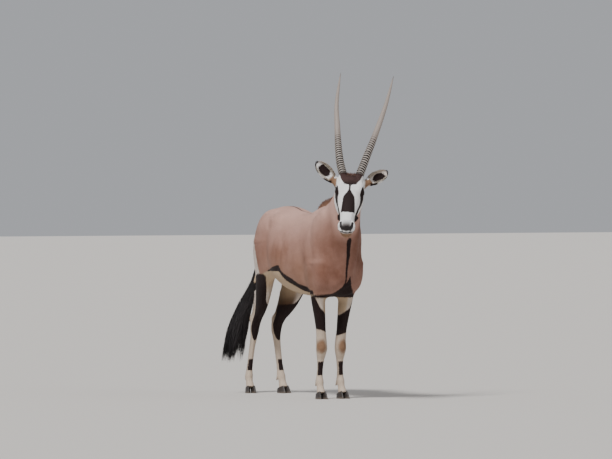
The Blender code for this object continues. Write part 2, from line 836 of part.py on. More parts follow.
def horn_point(name, share):
    """The horn's centre line: back along the line of the face, spreading and bowing back."""
    side = float(smooth_through(HORN_SHARES, HORNS[name], share))
    return on_head(side, HORN_FOOT - HORN_LENGTH * share, -0.024 - 0.058 * share**2)


def horn_radius(share):
    knots = (0.0, 0.10, 0.25, 0.45, 0.70, 0.88, 1.0)
    sizes = (1.00, 0.94, 0.84, 0.70, 0.48, 0.27, 0.08)
    return HORN_BASE_RADIUS * float(smooth_through(knots, sizes, share))


def horn_shares():
    """Stations along a horn, each with its swelling: ridge and groove, then smooth."""
    rows = [(0.0, 0.985)]
    for ring in range(RINGS):
        start = 0.012 + (RINGED_SHARE - 0.012) * ring / RINGS
        step = (RINGED_SHARE - 0.012) / RINGS
        height = 0.075 * (1 - 0.55 * ring / RINGS)
        rows.append((start + step * 0.30, 1 + height))
        rows.append((start + step * 0.85, 1 - height * 0.55))
    for k in range(1, 15):
        share = RINGED_SHARE + (1 - RINGED_SHARE) * (k / 14) ** 0.92
        rows.append((share, 1.0))
    return rows


def horn(name):
    """A long ringed horn, nearly straight, round and slowly tapering to a point."""
    bm = bmesh.new()
    sides = 12
    rings = []
    for share, swell in horn_shares():
        centre = horn_point(name, share)
        ahead = horn_point(name, min(share + 0.01, 1.0))
        behind = horn_point(name, max(share - 0.01, 0.0))
        along = (ahead - behind).normalized()
        across = (HEAD_LEFT - along * HEAD_LEFT.dot(along)).normalized()
        deep = along.cross(across)
        radius = horn_radius(share) * swell
        ring = []
        for k in range(sides):
            turn = 2 * math.pi * k / sides
            reach = across * math.cos(turn) + deep * (1.10 * math.sin(turn))
            ring.append(bm.verts.new(centre + reach * radius))
        rings.append(ring)
    for lower, upper in zip(rings[:-1], rings[1:]):
        for k in range(sides):
            j = (k + 1) % sides
            bm.faces.new((lower[k], lower[j], upper[j], upper[k]))
    bm.faces.new(rings[0][::-1])
    bm.faces.new(rings[-1])
    mesh = bpy.data.meshes.new("horn_" + name)
    bm.to_mesh(mesh)
    bm.free()
    return link("horn_" + name, mesh)


def horn_foot(name):
    """The flat on the skull from which a horn rises."""
    point = horn_point(name, 0.0)
    along = (horn_point(name, 0.01) - point).normalized()
    across = (HEAD_LEFT - along * HEAD_LEFT.dot(along)).normalized()
    return point, along, across


def ball(name, centre, radius):
    mesh = bpy.data.meshes.new(name)
    bm = bmesh.new()
    spot = Matrix.Translation(centre)
    bmesh.ops.create_uvsphere(bm, u_segments=16, v_segments=10, radius=radius, matrix=spot)
    bm.to_mesh(mesh)
    bm.free()
    return link(name, mesh)


def lock(name, path, widths, flat, thick):
    """A flat tapering lock of hair: a lens-shaped section along a bending path to a point."""
    bm = bmesh.new()
    rings = []
    for k, spot in enumerate(path[:-1]):
        along = (path[k + 1] - path[max(k - 1, 0)]).normalized()
        across = along.cross(flat).normalized()
        out = across.cross(along)
        half = widths[k] / 2
        deep = thick * (1 - 0.7 * k / len(path)) / 2
        corners = (across * half, out * deep, -across * half, -out * deep)
        rings.append([bm.verts.new(spot + corner) for corner in corners])
    tip = bm.verts.new(path[-1])
    for lower, upper in zip(rings[:-1], rings[1:]):
        for k in range(4):
            j = (k + 1) % 4
            bm.faces.new((lower[k], lower[j], upper[j], upper[k]))
    for k in range(4):
        bm.faces.new((rings[-1][k], rings[-1][(k + 1) % 4], tip))
    bm.faces.new(rings[0][::-1])
    bmesh.ops.recalc_face_normals(bm, faces=bm.faces)
    mesh = bpy.data.meshes.new(name)
    bm.to_mesh(mesh)
    bm.free()
    return link(name, mesh)


def tube(name, centres, halves, across, sides=8):
    """A closed oval tube through centres, halves being (across, deep) at each of them."""
    bm = bmesh.new()
    rings = []
    for k, (centre, (wide, deep)) in enumerate(zip(centres, halves)):
        ahead, behind = centres[min(k + 1, len(centres) - 1)], centres[max(k - 1, 0)]
        along = (ahead - behind).normalized()
        side = (across - along * across.dot(along)).normalized()
        out = along.cross(side)
        ring = []
        for j in range(sides):
            turn = 2 * math.pi * (j + 0.5) / sides
            ring.append(
                bm.verts.new(
                    centre + side * (wide * math.cos(turn)) + out * (deep * math.sin(turn))
                )
            )
        rings.append(ring)
    for lower, upper in zip(rings[:-1], rings[1:]):
        for k in range(sides):
            j = (k + 1) % sides
            bm.faces.new((lower[k], lower[j], upper[j], upper[k]))
    bm.faces.new(rings[0][::-1])
    bm.faces.new(rings[-1])
    bmesh.ops.recalc_face_normals(bm, faces=bm.faces)
    mesh = bpy.data.meshes.new(name)
    bm.to_mesh(mesh)
    bm.free()
    return link(name, mesh)


TAIL_HEIGHTS = (0.84, 0.79, 0.70, 0.57, 0.45, 0.35, TAIL_TIP_HEIGHT)
TAIL_SWING = (-0.028, -0.038, -0.060, -0.108, -0.146, -0.172, -0.200)
TAIL_BACK = (0.697, 0.704, 0.718, 0.742, 0.752, 0.754, 0.748)


def tail_point(height):
    """The middle of the hanging tail hair at a height above the ground."""
    rising = TAIL_HEIGHTS[::-1]
    x = float(smooth_through(rising, TAIL_SWING[::-1], height))
    y = float(smooth_through(rising, TAIL_BACK[::-1], height))
    return Vector((x, y, height))


def join_locks(core, locks):
    """Fuse a core and its overlapping locks into one closed surface."""
    bunch = bpy.data.collections.new("locks")
    for piece in locks:
        bunch.objects.link(piece)
    boolean(core, "UNION", bunch)
    discard(*locks)
    bpy.data.collections.remove(bunch)
    return core


TAIL_LOCKS = 24
TAIL_ACROSS = Vector((0.905, -0.425, 0))
TAIL_DEEP = Vector((0.425, 0.905, 0))


def tail_spread(height):
    """How far the tail's hair stands off its middle at a height."""
    heights = (0.20, 0.36, 0.50, 0.66, 0.80)
    spreads = (0.070, 0.064, 0.046, 0.027, 0.012)
    return float(smooth_through(heights, spreads, height))


def tail_hair():
    """The long black tail hair: a tapering core, and flat locks that hang past it to points."""
    levels = (0.82, 0.76, 0.70, 0.62, 0.54, 0.50)
    halves = (0.018, 0.021, 0.026, 0.030, 0.026, 0.008)
    centres = [tail_point(z) for z in levels]
    core = tube("tail_hair", centres, [(h, h * 0.75) for h in halves], TAIL_ACROSS)
    chance = random.Random(4)
    locks = []
    for k in range(TAIL_LOCKS):
        turn = 2 * math.pi * (k * 0.382 % 1.0)
        share = k / (TAIL_LOCKS - 1)
        top = 0.755 - 0.16 * share + chance.uniform(-0.01, 0.01)
        end = TAIL_TIP_HEIGHT + (0.02, 0.10, 0.05, 0.18, 0.0)[k % 5] + chance.uniform(0, 0.06)
        out = TAIL_ACROSS * math.cos(turn) + TAIL_DEEP * (0.55 * math.sin(turn))
        sway = chance.uniform(-0.018, 0.018)
        path = []
        for step in range(7):
            u = step / 6
            height = top + (end - top) * u
            reach = tail_spread(height) * (0.25 + 0.75 * min(u * 2.4, 1)) * (0.72 + 0.28 * (k % 3) / 2)
            wave = TAIL_ACROSS * (sway * math.sin(u * 3.6))
            path.append(tail_point(height) + out * reach + wave)
        widths = (0.018, 0.026, 0.031, 0.030, 0.024, 0.014)
        flat = (out + TAIL_DEEP * 0.2).normalized()
        locks.append(lock("lock", path, widths, flat, 0.0090))
    join_locks(core, locks)
    return within(core, TUFT_TOP)


def nape_line(shapes):
    """Points along the top of the neck from withers to poll, each with its outward way."""
    core = (
        Vector((0, -0.140, 1.04)),
        Vector((0, -0.320, 1.08)),
        Vector((-0.012, -0.460, 1.14)),
        Vector((-0.030, -0.570, 1.23)),
        on_head(0, 0.010, -0.105),
    )
    rows = []
    for k in range(17):
        share = k / 16
        spot = [smooth_through(range(5), [p[axis] for p in core], share * 4) for axis in range(3)]
        toward = Vector((0, 0.10 + 0.55 * share, 1)).normalized()
        rows.append((surface_from(shapes, Vector(spot), toward), toward))
    return rows


MANE_LOCKS = 32


def mane_height(share):
    """The mane's height off the hide, from the withers (0) to the poll (1)."""
    return 0.016 + 0.038 * math.sin(math.pi * min(share * 1.1 + 0.06, 1)) ** 0.7


def mane(shapes, seats):
    """A short upright mane: a low ridge, and flat locks that lean back and overlap."""
    rows = nape_line(shapes)
    centres, sizes = [], []
    for k, (spot, outward) in enumerate(rows):
        height = mane_height(k / (len(rows) - 1)) * 0.5
        centres.append(spot + outward * (height - 0.020) / 2)
        sizes.append((0.0085, (height + 0.020) / 2))
    ridge = tube("mane", centres, sizes, Vector((1, 0, 0)))
    chance = random.Random(7)
    locks = []
    for k in range(MANE_LOCKS):
        share = (k + 0.5) / MANE_LOCKS
        at = share * (len(rows) - 1)
        low = min(int(at), len(rows) - 2)
        spot = rows[low][0].lerp(rows[low + 1][0], at - low)
        outward = rows[low][1].lerp(rows[low + 1][1], at - low).normalized()
        back = (rows[low][0] - rows[low + 1][0]).normalized()
        aside = back.cross(outward).normalized() * (1, -1, 0.3, -0.6)[k % 4]
        tall = mane_height(share) * chance.uniform(0.86, 1.10)
        lean = chance.uniform(0.45, 0.75)
        path = []
        for step in range(5):
            u = step / 4
            rise = outward * (tall * u - 0.012 * (1 - u))
            drift = back * (tall * lean * u**1.4) + aside * (0.0015 + 0.0060 * u * u)
            path.append(spot + rise + drift)
        widths = [0.046 * wide for wide in (0.95, 1.0, 0.86, 0.56)]
        locks.append(lock("lock", path, widths, aside, 0.0105))
    join_locks(ridge, locks)
    for node in seats:
        seat = swollen(node)
        boolean(ridge, "DIFFERENCE", seat)
        discard(seat)
    return ridge


def swollen(node):
    """A copy of a node grown by the gap, to cut a snug seat for what lies on it."""
    copy = link("swollen", node.data.copy())
    normals = [v.normal.copy() for v in copy.data.vertices]
    for vert, normal in zip(copy.data.vertices, normals):
        vert.co += normal * (GAP * 1.6)
    return copy


def settle_on_floor(nodes):
    """Put the middle of the animal's bounding box over the origin, its soles on the floor."""
    corners = np.array([v.co[:] for obj in nodes for v in obj.data.vertices])
    low, high = corners.min(axis=0), corners.max(axis=0)
    middle = (low + high) / 2
    for obj in nodes:
        obj.data.transform(Matrix.Translation((-middle[0], -middle[1], -low[2])))


def main():
    for obj in list(bpy.data.objects):
        bpy.data.objects.remove(obj)

    hide = paint("short fawn coat", (0.36, 0.25, 0.19), 0.85)
    white = paint("short white coat", (0.62, 0.57, 0.52), 0.85)
    dark = paint("long black hair", (0.035, 0.024, 0.020), 0.75)
    chestnut = paint("chestnut mane hair", (0.20, 0.11, 0.07), 0.8)
    keratin = paint("horn keratin", (0.17, 0.14, 0.12), 0.5)
    wet = paint("dark moist eye", (0.02, 0.013, 0.01), 0.1)
    nodes = []
    shapes = flesh()

    # Torso and neck, parted from one mesh, with every limb cut off at its own plane
    torso = mesh_of("torso", shapes, (-0.28, -0.84, 0.52), (0.28, 0.76, 1.48), 0.010, 3200)
    neck_piece = link("neck", torso.data.copy())
    for cut in (NECK_BLOCK, TAIL_BLOCK, *(leg_block(name) for name in LEGS)):
        without(torso, cut)
    within(neck_piece, NECK_BLOCK)
    without(neck_piece, HEAD_BLOCK)
    nodes += [finish(torso, hide), finish(neck_piece, hide)]

    # Head, opened for the ears, the horns and the two eyeballs
    head = mesh_of("head", shapes, (-0.38, -1.00, 0.94), (0.20, -0.52, 1.53), 0.0036, 3930)
    within(head, HEAD_BLOCK)
    for name in EARS:
        without(head, ear_block(name))
        point, along, across = horn_foot(name)
        without(head, planes_about(point, along, across, 0.0330))
        centre = eye_centre(name)
        socket = ball("socket", centre, EYE_RADIUS + GAP)
        boolean(head, "DIFFERENCE", socket)
        discard(socket)
    nodes.append(finish(head, white))

    # Ears, eyes and horns
    for name in EARS:
        root, along, _ = ear_root(name)
        middle = root + along * 0.110
        reach = Vector([0.045 + 0.095 * abs(part) for part in along])
        ear = mesh_of("ear_" + name, shapes, middle - reach, middle + reach, 0.0026, 660)
        within(ear, ear_block(name))
        nodes.append(finish(ear, white))
        eye = ball("eye_" + name, eye_centre(name), EYE_RADIUS)
        nodes.append(finish(eye, wet))
        nodes.append(finish(horn(name), keratin))

    # Legs, each ending in two separate claws
    for name in LEGS:
        front = "fore" in name
        side = LEGS[name][1]
        y_low, y_high, top = (-0.48, -0.12, 0.80) if front else (0.12, 0.80, 1.00)
        low = (min(side * 0.30, side * 0.004), y_low, 0.0)
        high = (max(side * 0.30, side * 0.004), y_high, top)
        leg = mesh_of("leg_" + name, shapes, low, high, 0.006, 900)
        within(leg, leg_block(name))
        middle, normal = coronet_plane(name)
        within(leg, [(middle, -normal)])
        nodes.append(finish(leg, white))
        for half, which in ((1, "a"), (-1, "b")):
            nodes.append(finish(hoof(f"hoof_{name}_{which}", name, half), keratin))

    # Tail: fleshy dock, then the long hair
    dock = mesh_of("tail_dock", shapes, (-0.12, 0.52, 0.70), (0.10, 0.78, 1.14), 0.005, 500)
    within(dock, TAIL_BLOCK)
    without(dock, TUFT_TOP)
    nodes.append(finish(dock, dark))
    nodes.append(finish(tail_hair(), dark))

    # Mane, seated on the finished nape
    seats = [obj for obj in nodes if obj.name in ("torso", "neck", "head")]
    nodes.append(finish(mane(shapes, seats), chestnut))
    settle_on_floor(nodes)


main()
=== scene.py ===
"""The looks of a life-size gemsbok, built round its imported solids, one section for each part of the animal.

The hide comes first, as one skin with its short coat, then the tail hair, the mane, the longer hair of the
head, the eyes, the horns and the hooves. Metres, +Z up; the animal faces -Y, so its left side is at +X.
"""

import math

import bmesh
import bpy
import numpy as np
import openvdb
from mathutils import Matrix, Vector


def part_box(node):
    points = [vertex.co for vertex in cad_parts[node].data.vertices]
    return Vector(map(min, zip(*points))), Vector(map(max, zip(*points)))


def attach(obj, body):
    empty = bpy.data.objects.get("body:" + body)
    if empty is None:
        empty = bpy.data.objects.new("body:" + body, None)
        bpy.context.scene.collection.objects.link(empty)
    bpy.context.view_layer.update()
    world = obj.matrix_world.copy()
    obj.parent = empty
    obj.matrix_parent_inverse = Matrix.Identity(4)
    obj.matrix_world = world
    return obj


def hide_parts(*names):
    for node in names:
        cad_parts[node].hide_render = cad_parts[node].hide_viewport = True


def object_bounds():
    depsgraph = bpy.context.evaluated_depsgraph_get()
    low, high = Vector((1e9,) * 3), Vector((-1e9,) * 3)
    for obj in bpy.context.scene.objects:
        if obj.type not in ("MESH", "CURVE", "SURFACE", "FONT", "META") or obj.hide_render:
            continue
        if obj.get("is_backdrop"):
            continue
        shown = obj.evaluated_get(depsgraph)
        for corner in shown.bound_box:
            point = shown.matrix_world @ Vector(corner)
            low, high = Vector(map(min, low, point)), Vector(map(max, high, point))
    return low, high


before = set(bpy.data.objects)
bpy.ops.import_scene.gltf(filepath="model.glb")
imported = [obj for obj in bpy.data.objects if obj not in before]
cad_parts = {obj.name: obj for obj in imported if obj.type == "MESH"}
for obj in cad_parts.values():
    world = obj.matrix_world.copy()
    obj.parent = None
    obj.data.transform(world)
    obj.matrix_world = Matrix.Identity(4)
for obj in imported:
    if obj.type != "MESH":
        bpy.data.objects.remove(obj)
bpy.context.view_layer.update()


# Flesh
# The living body under its coat: trunk, neck and limbs, with the muscles and bones that lift the hide.
# It is one soft blend of tapering lofts and muscle masses, with the solids' own sizes in metres.
WITHERS_HEIGHT = 1.20
CHEST_HEIGHT = 0.632
HEAD_LENGTH = 0.400
EYE_RADIUS = 0.0205
EAR_LENGTH = 0.200
HEAD_TURN = 28.0
HEAD_PITCH = 36.0
HEAD_ROLL = 3.5
FAR = 1.0
BEYOND = 0.03
POLL = Vector((-0.040, -0.672, 1.384))


def head_axes():
    """The head's own axes: down the face, to its left, and out of the forehead."""
    turn = Matrix.Rotation(math.radians(-HEAD_TURN), 3, "Z")
    roll = math.radians(HEAD_ROLL)
    pitch = math.radians(HEAD_PITCH)
    forward = Vector((0, -1, 0))
    up = Vector((math.sin(roll), 0, math.cos(roll)))
    left = Vector((math.cos(roll), 0, -math.sin(roll)))
    down_face = forward * math.sin(pitch) - up * math.cos(pitch)
    out_face = forward * math.cos(pitch) + up * math.sin(pitch)
    return turn @ down_face, turn @ left, turn @ out_face


DOWN_FACE, HEAD_LEFT, OUT_FACE = head_axes()


def on_head(side, down, out):
    """A point given in the head's own axes, from the poll."""
    return POLL + HEAD_LEFT * side + DOWN_FACE * down + OUT_FACE * out


def head_direction(side, down, out):
    """A way of length 1, given in the head's own axes."""
    return (HEAD_LEFT * side + DOWN_FACE * down + OUT_FACE * out).normalized()


def smooth_through(knots, values, at):
    """A cubic through the knots that never overshoots between them."""
    knots = np.asarray(knots, float)
    values = np.asarray(values, float)
    step = np.diff(knots)
    rise = np.diff(values) / step
    slope = np.zeros_like(values)
    same = rise[:-1] * rise[1:] > 0
    inner = slope[1:-1]
    inner[same] = 2 * rise[:-1][same] * rise[1:][same] / (rise[:-1] + rise[1:])[same]
    slope[0], slope[-1] = rise[0], rise[-1]
    at = np.clip(at, knots[0], knots[-1])
    k = np.clip(np.searchsorted(knots, at, side="right") - 1, 0, len(step) - 1)
    u = (at - knots[k]) / step[k]
    return (
        (1 + 2 * u) * (1 - u) ** 2 * values[k]
        + u * (1 - u) ** 2 * step[k] * slope[k]
        + u * u * (3 - 2 * u) * values[k + 1]
        + u * u * (u - 1) * step[k] * slope[k + 1]
    )


def dot(axis, x, y, z):
    """How far points lie along an axis, for arrays of x, y and z."""
    return x * axis[0] + y * axis[1] + z * axis[2]


class Loft:
    """An oval section carried along a straight axis, with its centre free to wander.

    Each station is (distance along, centre, half width, half depth, egg), where egg above 0
    makes the section wider on its face side. A power above 2 squares the oval.
    """

    FINE = 240

    def __init__(self, along, side, stations, blend, power=2.0, hollow=False):
        self.along = Vector(along).normalized()
        side = Vector(side)
        self.side = (side - self.along * side.dot(self.along)).normalized()
        self.face = self.along.cross(self.side)
        self.blend, self.power, self.hollow = blend, power, hollow
        rows = np.array(sorted((t, *centre, a, b, egg) for t, centre, a, b, egg in stations), float)
        self.t = np.linspace(rows[0, 0], rows[-1, 0], self.FINE)
        self.table = np.array([smooth_through(rows[:, 0], rows[:, k], self.t) for k in range(1, 7)])

    def box(self):
        reach = np.maximum(self.table[3], self.table[4]) * 1.15
        low = (self.table[:3] - reach).min(axis=1)
        high = (self.table[:3] + reach).max(axis=1)
        return low, high

    def value(self, x, y, z):
        t = dot(self.along, x, y, z)
        held = np.clip(t, self.t[0], self.t[-1])
        cx, cy, cz, a, b, egg = (np.interp(held, self.t, row) for row in self.table)
        offset = x - cx, y - cy, z - cz
        s, f = dot(self.side, *offset), dot(self.face, *offset) / b
        a = a * (1 + egg * np.clip(f, -1, 1))
        s = s / a
        n = self.power
        rho = (np.abs(s) ** n + np.abs(f) ** n) ** (1 / n) + 1e-9
        steep = np.sqrt((s / a) ** 2 + (f / b) ** 2) + 1e-9
        inside = (rho - 1) * np.sqrt(s * s + f * f + 1e-12) / steep
        inside = np.where(rho < 0.3, -0.7 * np.minimum(a, b), inside)
        past = np.abs(t - held)
        within = np.minimum(t - self.t[0], self.t[-1] - t)
        return np.where(past > 0, np.hypot(np.maximum(inside, 0), past), np.maximum(inside, -within))


class Mass:
    """A muscle or bone bulge: an ellipsoid with its own axes."""

    def __init__(self, centre, radii, blend, axes=None, hollow=False):
        self.centre, self.radii, self.blend, self.hollow = centre, radii, blend, hollow
        self.axes = [Vector(v) for v in (axes or ((1, 0, 0), (0, 1, 0), (0, 0, 1)))]

    def box(self):
        reach = max(self.radii)
        centre = np.array(self.centre, float)
        return centre - reach, centre + reach

    def value(self, x, y, z):
        offset = x - self.centre[0], y - self.centre[1], z - self.centre[2]
        near, slope = 0.0, 0.0
        for axis, radius in zip(self.axes, self.radii):
            q = dot(axis, *offset) / radius
            near = near + q * q
            slope = slope + (q / radius) ** 2
        near = np.sqrt(near) + 1e-9
        return near * (near - 1) / (np.sqrt(slope) + 1e-9)


class Cord:
    """A round tapering stretch between two points, for tendons, ridges, folds and grooves."""

    def __init__(self, start, end, r_start, r_end, blend, hollow=False):
        self.start, self.end = Vector(start), Vector(end)
        self.r_start, self.r_end = r_start, r_end
        self.blend, self.hollow = blend, hollow

    def box(self):
        reach = max(self.r_start, self.r_end)
        ends = np.array([self.start, self.end], float)
        return ends.min(axis=0) - reach, ends.max(axis=0) + reach

    def value(self, x, y, z):
        run = self.end - self.start
        dx, dy, dz = x - self.start.x, y - self.start.y, z - self.start.z
        u = np.clip(dot(run, dx, dy, dz) / run.length_squared, 0, 1)
        gap = np.sqrt((dx - u * run.x) ** 2 + (dy - u * run.y) ** 2 + (dz - u * run.z) ** 2)
        return gap - (self.r_start + (self.r_end - self.r_start) * u)


def tilted(about_x):
    """Ellipsoid axes leaned about the sideways axis, in degrees."""
    turn = Matrix.Rotation(math.radians(about_x), 3, "X")
    return [turn @ Vector(v) for v in ((1, 0, 0), (0, 1, 0), (0, 0, 1))]


def trunk():
    """Ribs, belly and croup: stations along the spine as (y, top, bottom, half width, egg)."""
    profile = (
        (-0.515, 0.960, 0.835, 0.045, 0.00),
        (-0.490, 1.040, 0.755, 0.085, 0.00),
        (-0.430, 1.120, 0.680, 0.120, 0.00),
        (-0.330, 1.170, CHEST_HEIGHT, 0.145, -0.06),
        (-0.200, 1.168, 0.628, 0.178, -0.10),
        (-0.060, 1.152, 0.634, 0.196, -0.12),
        (0.080, 1.160, 0.648, 0.206, -0.12),
        (0.200, 1.180, 0.680, 0.200, -0.10),
        (0.310, 1.184, 0.728, 0.170, -0.04),
        (0.420, 1.170, 0.775, 0.142, 0.02),
        (0.510, 1.128, 0.810, 0.114, 0.05),
        (0.575, 1.070, 0.850, 0.078, 0.00),
        (0.605, 1.010, 0.900, 0.040, 0.00),
    )
    stations = [
        (y, (0, y, (top + bottom) / 2), width, (top - bottom) / 2, -egg)
        for y, top, bottom, width, egg in profile
    ]
    return Loft((0, 1, 0), (1, 0, 0), stations, blend=0.0, power=2.25)


def body_masses():
    """Withers, shoulders, breast, haunches and the bones that show through the hide."""
    shapes = [
        Mass((0, -0.285, WITHERS_HEIGHT - 0.100), (0.056, 0.150, 0.093), 0.06, tilted(8)),
        Mass((0, -0.470, 0.800), (0.075, 0.072, 0.105), 0.06, tilted(-12)),
        Mass((0, 0.330, 1.112), (0.070, 0.190, 0.070), 0.04),
    ]
    for side in (-1, 1):
        shapes += [
            Mass((side * 0.104, -0.335, 0.935), (0.056, 0.100, 0.225), 0.05, tilted(16)),
            Mass((side * 0.110, -0.375, 0.800), (0.060, 0.095, 0.125), 0.04, tilted(-20)),
            Mass((side * 0.055, -0.400, 0.712), (0.056, 0.080, 0.062), 0.06),
            Mass((side * 0.094, 0.385, 0.985), (0.084, 0.155, 0.180), 0.05, tilted(14)),
            Mass((side * 0.080, 0.515, 0.920), (0.060, 0.085, 0.140), 0.05, tilted(12)),
            Mass((side * 0.118, 0.225, 1.095), (0.036, 0.048, 0.032), 0.05),
            Mass((side * 0.114, 0.310, 0.845), (0.046, 0.062, 0.100), 0.05, tilted(-14)),
            Mass((side * 0.206, -0.225, 0.840), (0.022, 0.034, 0.150), 0.05, hollow=True),
        ]
    return shapes


def neck():
    """A deep muscular neck that swings to the animal's right as it rises to the head."""
    foot, top = Vector((0, -0.300, 0.900)), Vector((-0.040, -0.640, 1.268))
    along = (top - foot).normalized()
    start = foot.dot(along)
    length = (top - foot).length
    shape = (
        (-0.20, 0.045, 0.075),
        (-0.08, 0.100, 0.155),
        (0.00, 0.134, 0.204),
        (0.12, 0.126, 0.196),
        (0.25, 0.108, 0.170),
        (0.36, 0.092, 0.137),
        (0.45, 0.080, 0.110),
        (0.52, 0.070, 0.096),
    )
    bow = Vector((0.012, 0.0, 0.0))
    stations = [
        (start + t, foot + along * t + bow * math.sin(math.pi * t / length), width, depth, 0.0)
        for t, width, depth in shape
    ]
    return Loft(along, (1, 0, 0), stations, blend=0.075, power=2.1)


# Each leg from the trunk down, as (height, sideways, back, half width, half depth)
FORELEG = (
    (0.840, 0.112, -0.350, 0.052, 0.090),
    (0.720, 0.104, -0.325, 0.050, 0.083),
    (0.660, 0.098, -0.316, 0.046, 0.070),
    (0.600, 0.092, -0.312, 0.041, 0.058),
    (0.500, 0.080, -0.309, 0.034, 0.045),
    (0.415, 0.071, -0.306, 0.0305, 0.0375),
    (0.360, 0.067, -0.304, 0.0335, 0.0375),
    (0.318, 0.066, -0.305, 0.0360, 0.0400),
    (0.275, 0.067, -0.300, 0.0295, 0.0335),
    (0.240, 0.068, -0.294, 0.0220, 0.0275),
    (0.180, 0.071, -0.291, 0.0180, 0.0245),
    (0.140, 0.073, -0.289, 0.0198, 0.0262),
    (0.106, 0.074, -0.291, 0.0258, 0.0325),
    (0.078, 0.075, -0.302, 0.0225, 0.0265),
    (0.052, 0.076, -0.314, 0.0255, 0.0305),
    (0.024, 0.076, -0.324, 0.0275, 0.0335),
)
HINDLEG = (
    (0.960, 0.092, 0.420, 0.066, 0.140),
    (0.880, 0.100, 0.425, 0.070, 0.146),
    (0.800, 0.106, 0.436, 0.066, 0.136),
    (0.740, 0.105, 0.443, 0.060, 0.126),
    (0.680, 0.100, 0.464, 0.052, 0.114),
    (0.620, 0.092, 0.494, 0.0445, 0.100),
    (0.560, 0.082, 0.533, 0.0370, 0.086),
    (0.510, 0.073, 0.578, 0.0315, 0.069),
    (0.470, 0.067, 0.624, 0.0290, 0.052),
    (0.430, 0.064, 0.656, 0.0290, 0.0440),
    (0.390, 0.064, 0.667, 0.0265, 0.0370),
    (0.350, 0.067, 0.670, 0.0225, 0.0295),
    (0.290, 0.074, 0.673, 0.0190, 0.0258),
    (0.200, 0.083, 0.673, 0.0184, 0.0245),
    (0.145, 0.089, 0.671, 0.0208, 0.0268),
    (0.106, 0.092, 0.668, 0.0262, 0.0325),
    (0.078, 0.094, 0.656, 0.0230, 0.0272),
    (0.052, 0.095, 0.644, 0.0262, 0.0310),
    (0.024, 0.095, 0.634, 0.0280, 0.0340),
)


# What kind a leg is: its sizes, the height below which its foot may be set back, and its blend
LEG_KINDS = {"fore": (FORELEG, 0.66, 0.045), "hind": (HINDLEG, 0.80, 0.06)}
# Where a leg stands: its side, how far back its foot is set, and how many degrees its toes point out
LEGS = {
    "fore_right": (-1, 0.000, 4),
    "fore_left": (1, 0.012, 4),
    "hind_right": (-1, 0.060, 14),
    "hind_left": (1, -0.030, 14),
}
FETLOCK_HEIGHT = 0.106


def leg_of(name):
    """Everything that shapes a leg: its rows, free height, blend, side, foot's place and toes' turn."""
    return *LEG_KINDS[name[:4]], *LEGS[name]


def leg_sway(height, top, foot_back):
    """How far back a leg's point is swung, from none at the top to all of it at the fetlock."""
    return foot_back * np.clip((top - height) / (top - 0.10), 0, 1)


def leg_shapes(name):
    """The loft of one leg, with the dewclaws at the back of its fetlock."""
    rows, top, blend, side, foot_back, toe_out = leg_of(name)
    turn = Matrix.Rotation(math.radians(side * toe_out), 3, "Z")
    stations = [
        (z, (side * x, y + leg_sway(z, top, foot_back), z), width, depth, 0.0)
        for z, x, y, width, depth in rows
    ]
    shapes = [Loft((0, 0, 1), turn @ Vector((1, 0, 0)), stations, blend=blend)]
    fetlock = next(row for row in rows if row[0] == FETLOCK_HEIGHT)
    heel = Vector((side * fetlock[1], fetlock[2] + foot_back, 0.098))
    for out in (-1, 1):
        root = heel + turn @ Vector((out * 0.012, 0.018, 0.0))
        tip = heel + turn @ Vector((out * 0.014, 0.027, -0.013))
        shapes.append(Cord(root, tip, 0.0100, 0.0070, 0.008))
    return shapes


def hock_point(name):
    """The heel bone at the back of the hock, and the tendon that runs up to it."""
    rows, top, blend, side, foot_back, toe_out = leg_of(name)
    sway = leg_sway(0.46, top, foot_back)
    heel = Vector((side * 0.067, 0.684 + sway, 0.472))
    return [
        Cord(heel, (side * 0.066, 0.672 + sway, 0.400), 0.0185, 0.0165, 0.022),
        Cord(heel, (side * 0.086, 0.585 + sway * 0.6, 0.640), 0.0125, 0.0200, 0.040),
    ]


def skull():
    """The long straight head: (down the face, face line, jaw line, half width, egg)."""
    profile = (
        (-0.045, -0.080, -0.132, 0.040, 0.0),
        (-0.020, -0.038, -0.160, 0.058, 0.0),
        (0.015, -0.008, -0.182, 0.070, 0.06),
        (0.055, 0.004, -0.188, 0.074, 0.12),
        (0.100, 0.006, -0.182, 0.074, 0.16),
        (0.140, 0.003, -0.166, 0.068, 0.16),
        (0.185, 0.000, -0.148, 0.0600, 0.14),
        (0.235, -0.003, -0.129, 0.0520, 0.08),
        (0.285, -0.004, -0.114, 0.0455, 0.02),
        (0.325, -0.005, -0.106, 0.0440, 0.00),
        (0.355, -0.008, -0.102, 0.0440, 0.00),
        (0.378, -0.016, -0.098, 0.0390, 0.00),
        (0.391, -0.028, -0.090, 0.0280, 0.00),
        (HEAD_LENGTH, -0.042, -0.076, 0.0120, 0.00),
    )
    start = POLL.dot(DOWN_FACE)
    stations = [
        (start + s, on_head(0, s, (top + low) / 2), width, (top - low) / 2, egg)
        for s, top, low, width, egg in profile
    ]
    return Loft(DOWN_FACE, HEAD_LEFT, stations, blend=0.045, power=2.35)


HEAD_FRAME = (HEAD_LEFT, DOWN_FACE, OUT_FACE)
EYE_PLACE = (0.0680, 0.088, -0.042)
MUZZLE_HEART = (0.0, 0.345, -0.055)
NOSTRIL_WAYS = ((0.85, 0.10, 0.80), (0.78, 0.55, 0.55), (0.42, 0.88, 0.30))
MOUTH_HEART = (0.0, 0.325, -0.068)
LIP_WAYS = (
    (1.00, -0.75, -0.22),
    (1.00, -0.10, -0.12),
    (0.90, 0.50, 0.08),
    (0.62, 0.85, 0.24),
    (0.30, 0.98, 0.32),
    (0.00, 1.00, 0.34),
)


